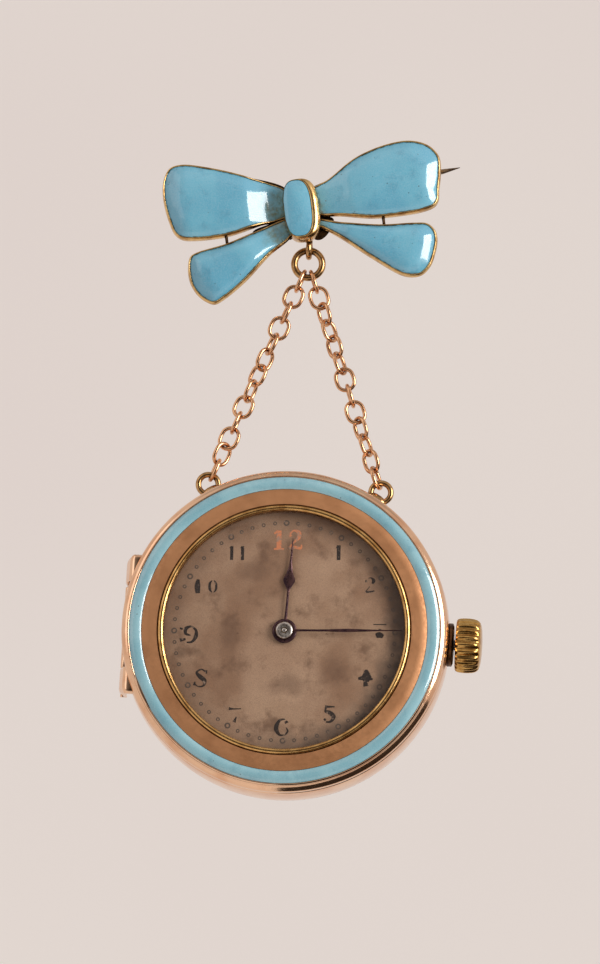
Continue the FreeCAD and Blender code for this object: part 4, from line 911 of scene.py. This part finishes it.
# Each numeral as pen strokes through points of (x, z, pen's width), in hundredths of the numeral's height.
ONE = [[(0, 50, 22), (0, -50, 22)], [(-16, 36, 5), (0, 47, 10)]]
THICK_ONE = [[(0, 50, 26), (0, -50, 24)], [(-17, 33, 6), (-2, 42, 12)]]
SERIF_ONE = [
    [(0, 46, 24), (0, -46, 24)],
    [(-24, -47, 9), (24, -47, 9)],
    [(-24, 30, 8), (-5, 44, 12)],
]
TWO = [
    [(-22, 20, 16), (-26, 34, 10)],
    [(-10, 47, 3), (10, 47, 10), (24, 30, 24), (16, 10, 12)],
    [(0, -8, 5), (-16, -28, 5), (-28, -42, 4)],
    [(-24, -44, 16), (8, -42, 10), (30, -36, 8)],
]
SERIF_TWO = [
    [(-26, 28, 12), (-20, 16, 16)],
    [(-24, 30, 8), (-4, 47, 8), (20, 36, 20), (20, 12, 20), (-4, -14, 8), (-28, -40, 6)],
    [(-30, -42, 12), (0, -38, 16), (30, -42, 12), (34, -24, 5)],
]
THREE = [
    [(-36, 42, 6), (40, 42, 6)],
    [(-5, 12, 10), (10, 8, 10)],
    [(-20, -26, 26), (0, -20, 36), (22, -30, 20)],
]
FOUR = [
    [(2, 50, 12), (4, 10, 56), (2, -20, 30)],
    [(-42, -2, 12), (0, 2, 34), (40, -6, 8)],
    [(-2, -20, 20), (2, -46, 30)],
]
FIVE = [
    [(-24, 44, 16), (30, 44, 6)],
    [(-20, 40, 10), (-24, 14, 10)],
    [(-24, 16, 14), (2, 10, 24), (24, -12, 26), (10, -40, 14), (-18, -44, 8)],
    [(-28, -34, 14), (-20, -26, 14)],
]
SIX = [
    [(16, 46, 6), (-12, 40, 14), (-30, 10, 24), (-30, -16, 24), (-10, -42, 12), (20, -40, 6)],
    [(20, 36, 16), (26, 24, 20)],
    [(22, 0, 4), (32, -20, 10), (20, -38, 8)],
]
SEVEN = [[(-40, 42, 20), (-10, 40, 8), (36, 42, 5)], [(8, -10, 5), (-6, -44, 22)]]
EIGHT = [
    [(26, 34, 10), (2, 47, 7), (-22, 30, 12), (-4, 8, 24), (20, -14, 24), (16, -40, 10),
     (-12, -46, 6), (-32, -30, 8)],
    [(28, 42, 14), (30, 24, 6)],
    [(-34, -40, 14), (-30, -20, 6)],
]
NINE = [
    [(10, 46, 8), (-18, 34, 20), (-20, 6, 16), (6, -4, 6)],
    [(10, 46, 8), (34, 24, 14), (34, -10, 22), (14, -38, 12), (-14, -42, 8)],
    [(-50, -30, 20), (-20, -24, 10)],
    [(-52, 34, 10), (-36, 30, 10)],
]
ZERO = [
    [(-6, 44, 4), (-22, 20, 18), (-22, -20, 18), (-6, -44, 4)],
    [(6, 44, 4), (22, 20, 16), (22, -20, 16), (6, -44, 4)],
]
BLOT_ONE = [[(4, 50, 20), (0, 0, 42), (4, -50, 30)]]

# Hour, its place as an angle and a radius, height in millimetres, and its signs with their sideways shift.
NUMERALS = [
    (12, -1.7, 7.95, 1.72, [(SERIF_ONE, -0.72), (SERIF_TWO, 0.62)]),
    (1, 30.7, 8.2, 1.28, [(THICK_ONE, 0.0)]),
    (2, 58.1, 8.25, 1.32, [(TWO, 0.0)]),
    (3, 87.1, 8.06, 1.45, [(THREE, 0.0)]),
    (4, 117.3, 8.01, 1.5, [(FOUR, 0.0)]),
    (5, 148.7, 8.11, 1.5, [(FIVE, 0.0)]),
    (6, 178.1, 8.26, 1.55, [(SIX, 0.0)]),
    (7, 206.9, 8.31, 1.35, [(SEVEN, 0.0)]),
    (8, 237.6, 8.15, 1.6, [(EIGHT, 0.0)]),
    (9, 265.2, 8.1, 1.6, [(NINE, 0.0)]),
    (10, 297.0, 7.85, 1.2, [(BLOT_ONE, -0.66), (ZERO, 0.66)]),
    (11, 325.9, 7.94, 1.2, [(ONE, -0.46), (ONE, 0.46)]),
]
DIAL_TURN = -2.4
TRACK_RADIUS = 9.4


def make_dial_print():
    """Numerals and minute track, printed a hair above the dial."""
    front = box("dial")[0].y - 0.012
    lean = math.radians(-DIAL_TURN)
    for hour, degrees, radius, tall, signs in NUMERALS:
        angle = math.radians(degrees)
        strokes = []
        for sign, shift in signs:
            strokes += [stroke(pen, front - 0.002 * k, shift, tall) for k, pen in enumerate(sign)]
        points, faces = joined(strokes)
        points = [(WATCH.x + radius * math.sin(angle) + x * math.cos(lean) - z * math.sin(lean), y,
                   WATCH.z + radius * math.cos(angle) + x * math.sin(lean) + z * math.cos(lean))
                  for x, y, z in points]
        print_piece(f"numeral_{hour:02d}", points, faces, RED_INK if hour == 12 else INK)
    dots = []
    for minute in range(60):
        angle = math.radians(6 * minute + DIAL_TURN)
        x, z = WATCH.x + TRACK_RADIUS * math.sin(angle), WATCH.z + TRACK_RADIUS * math.cos(angle)
        radii = (0.26, 0.13) if minute % 5 == 0 else (0.17, 0.08)
        dots.append(skin([[(x + r * c, front, z + r * s) for c, s in around(14)] for r in radii]))
    print_piece("minute_track", *joined(dots), FAINT_INK)


def print_piece(name, points, faces, material):
    """A thin printed layer riding on the case with the dial."""
    thick = 0.010
    count = len(points)
    under = [(x, y + thick, z) for x, y, z in points]
    edges = dict.fromkeys(edge for face in faces for edge in zip(face, face[1:] + face[:1]))
    rims = [(a, b) for a, b in edges if (b, a) not in edges]
    sides = [(b, a, a + count, b + count) for a, b in rims]
    back = [tuple(i + count for i in reversed(face)) for face in faces]
    piece(name, (points + under, faces + sides + back), material, "case", sharp=30)


def densify(stations, per=5):
    """More stations on a smooth curve through the given ones."""
    widths = [half for _, half in stations]
    fine = []
    for i in range(len(stations) - 1):
        near, far = stations[i][0], stations[i + 1][0]
        for j in range(per):
            t = j / per
            fine.append((near + (far - near) * t, max(spline(*neighbours(widths, i), t), 0.025)))
    fine.append(stations[-1])
    return fine


HOUR_STATIONS = (
    (0.6, 0.13), (1.6, 0.11), (3.0, 0.10), (3.6, 0.14), (4.0, 0.34), (4.35, 0.5), (4.6, 0.46), (5.0, 0.28),
    (5.5, 0.16), (6.2, 0.10), (7.2, 0.07), (8.05, 0.03),
)
MINUTE_STATIONS = (
    (0.5, 0.12), (1.5, 0.09), (3.5, 0.09), (4.6, 0.13), (5.6, 0.14), (6.6, 0.10), (8.0, 0.06), (10.0, 0.03),
)


def make_hand(body, stations, degrees, hub, bore):
    """A hand with its hub at an angle: stations of (distance, half width), crowned across."""
    front = box(body + "_hand")[0].y
    thick = 0.09
    turn = math.radians(degrees)
    turned = []
    for out, half in densify(stations):
        row = [(t * half, front + thick - thick * (1 - 0.55 * abs(t) ** 2.5)) for t in across(7)]
        row += [(half, front + thick), (-half, front + thick)]
        turned.append([(WATCH.x + x * math.cos(turn) + out * math.sin(turn), y,
                        WATCH.z - x * math.sin(turn) + out * math.cos(turn)) for x, y in row])
    profile = [(bore, front + 0.14), (bore, front), (bore + 0.05, front - 0.04), (hub - 0.08, front - 0.04),
               (hub, front + 0.02), (hub, front + 0.12), (hub - 0.05, front + 0.14)]
    whole = joined([skin(turned, caps=True), skin(lathe(profile, 64), loop=True)])
    piece(body + "_hand_blade", whole, HAND, body, (body + "_hand",), sharp=50)


def make_hands():
    """Hour and minute hands, the pale boss of the minute hand, and the end of the centre arbor in it."""
    make_hand("hour", HOUR_STATIONS, 1.8, 1.04, 0.52)
    make_hand("minute", MINUTE_STATIONS, 87.2, 0.66, 0.41)
    front = box("minute_hand")[0].y
    profile = [(0.41, front - 0.03), (0.70, front - 0.03), (0.73, front - 0.06), (0.72, front - 0.10),
               (0.64, front - 0.15), (0.5, front - 0.17), (0.42, front - 0.16), (0.41, front - 0.12)]
    boss = skin(lathe(profile, 64), loop=True)
    piece("minute_hand_boss", boss, BOSS_STEEL, "minute", ("minute_hand",), sharp=50)
    front = box("cannon_pinion")[0].y
    profile = [(0.0, front + 0.06), (0.19, front + 0.06), (0.2, front + 0.01), (0.19, front - 0.01),
               (0.15, front - 0.03), (0.08, front - 0.045), (0.0, front - 0.05)]
    piece("centre_arbor_tip", skin(lathe(profile, 40)), BOSS_STEEL, "centre", sharp=50)


# ---------------------------------------------------------------- CAD nodes that stay

KEPT = (
    (ROSE, ("case_hinge_pin",)),
    (TARNISHED_SHADED_NECK_GOLD, ("pendant_tube",)),
    (YELLOW, ("case_eyelets", "drop_eye", "jump_ring", "pin_hinge", "pin_catch")),
    (GLASS, ("crystal",)),
    (DIAL, ("dial",)),
    (PIN_STEEL, ("pin_rivet", "pin_stem")),
    (GILT, ("main_plate", "train_bridge", "balance_cock", "centre_wheel", "third_wheel", "fourth_wheel",
            "balance_wheel", "mainspring_barrel", "hour_wheel", "minute_wheel")),
    (BOSS_STEEL, ("cannon_pinion",)),
    (STEEL, ("bridge_screws", "mainspring", "barrel_arbor", "escape_wheel", "pallet_fork", "hairspring",
             "setting_lever", "winding_pinion", "crown_wheel", "ratchet_wheel", "winding_stem")),
)


def dress_kept_nodes():
    for material, nodes in KEPT:
        for node in nodes:
            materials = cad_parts[node].data.materials
            materials.clear()
            materials.append(material)


# ---------------------------------------------------------------- stage, light and camera

def make_stage():
    """One pale surface: a round floor that sweeps up into a wall on every side."""
    m = Material("pale_paper")
    colour = m.mix(m.ramp(m.noise(300, 2), 0.3, 0.7), linear(226, 217, 211), linear(222, 211, 206))
    m.set(Base_Color=colour, Roughness=0.9, Emission_Color=colour, Emission_Strength=0.42)
    m.bump(m.noise(1.5, 2), 0.02)
    floor, radius, fillet, top = -620.0, 1300.0, 500.0, 1900.0
    profile = [(0.001, floor)] + arc(radius - fillet, floor + fillet, fillet, -90, 0, 16) + [(radius, top)]
    points, faces = skin([[(out * c, out * s, up) for c, s in around(96)] for out, up in profile])
    mesh = bpy.data.meshes.new("studio_sweep")
    mesh.from_pydata([Vector(p) * MM for p in points], [], faces)
    mesh.shade_smooth()
    mesh.materials.append(m.material)
    sweep = placed("studio_sweep", mesh)
    sweep.visible_diffuse = False
    sweep.visible_shadow = False


def face_to(thing, at, aim, front):
    """Move a light or a card to a point in metres, its front axis turned to the aim."""
    thing.location = at
    thing.rotation_mode = "QUATERNION"
    thing.rotation_quaternion = (aim - at).to_track_quat(front, "Y")


def area_light(name, at, aim, wide, tall, power, colour):
    data = bpy.data.lights.new(name, "AREA")
    data.shape = "RECTANGLE"
    data.size = wide
    data.size_y = tall
    data.energy = power
    data.color = colour
    face_to(placed(name, data), at, aim, "-Z")


def make_flag(name, at, aim, wide, tall, soft=False):
    """A dark card that only reflections see, as photographers stand beside polished metal."""
    m = Material(name + "_cloth")
    m.set(Base_Color=m.mix(m.noise(4), linear(60, 50, 42), linear(46, 38, 32)), Roughness=1.0)
    if soft:
        glow = m.ramp(m.vector("LENGTH", m.place), 0.12, wide / 2, 0.0, 0.62)
        m.set(Emission_Color=linear(226, 216, 210), Emission_Strength=glow)
    mesh = bpy.data.meshes.new(name)
    x, y = wide / 2, tall / 2
    mesh.from_pydata([(-x, -y, 0), (x, -y, 0), (x, y, 0), (-x, y, 0)], [], [(0, 1, 2, 3)])
    mesh.materials.append(m.material)
    card = placed(name, mesh)
    face_to(card, at, aim, "Z")
    card.visible_camera = False
    card.visible_diffuse = False
    card.visible_shadow = False


def make_light():
    scene = bpy.context.scene
    world = bpy.data.worlds.new("soft_world")
    scene.world = world
    world.use_nodes = True
    back = world.node_tree.nodes["Background"]
    back.inputs["Color"].default_value = (1.0, 0.97, 0.95, 1.0)
    back.inputs["Strength"].default_value = 0.5
    aim = (CAD_LOW + CAD_HIGH) / 2
    area_light("key_softbox", aim + Vector((0.42, -0.30, 0.10)), aim, 0.24, 0.34, 2.4, (1.0, 0.98, 0.95))
    area_light("fill_left", aim + Vector((-0.5, -0.45, 0.25)), aim, 0.4, 0.5, 0.4, (0.97, 0.98, 1.0))
    make_flag("flag_behind_camera", aim + Vector((0.0, -0.9, -0.1)), aim, 1.8, 1.8, soft=True)
    make_flag("flag_low_right", aim + Vector((0.27, -0.02, -0.38)), aim + Vector((0, -0.02, 0)), 0.74, 0.72)
    scene.view_settings.view_transform = "Standard"


def make_camera():
    """The photograph's view: a long lens, a little below and to the right of square on, rolled slightly."""
    azimuth, elevation, roll = math.radians(3.5), math.radians(-11.5), math.radians(3.5)
    distance, shown = 0.60, 0.0825
    aim = Vector((1.60, 0.0, -24.37)) * MM
    back = Vector((math.sin(azimuth) * math.cos(elevation), -math.cos(azimuth) * math.cos(elevation),
                   math.sin(elevation)))
    data = bpy.data.cameras.new("camera")
    data.sensor_width = 36.0
    data.lens = data.sensor_width * distance / shown
    data.clip_start = 0.01
    data.clip_end = 10.0
    camera = placed("camera", data)
    camera.location = aim + back * distance
    camera.rotation_mode = "QUATERNION"
    straight = (-back).to_track_quat("-Z", "Y")
    camera.rotation_quaternion = straight @ Matrix.Rotation(roll, 4, "Z").to_quaternion()
    bpy.context.scene.camera = camera


make_camera()
make_light()
make_stage()
dress_kept_nodes()
make_bow()
make_chain()
make_band()
make_eyelet_foot("eyelet_foot_left", -1)
make_eyelet_foot("eyelet_foot_right", 1)
make_bezel()
make_thumb_lip()
make_enamel_ring()
make_back()
make_crown_knob()
make_dial_print()
make_hands()
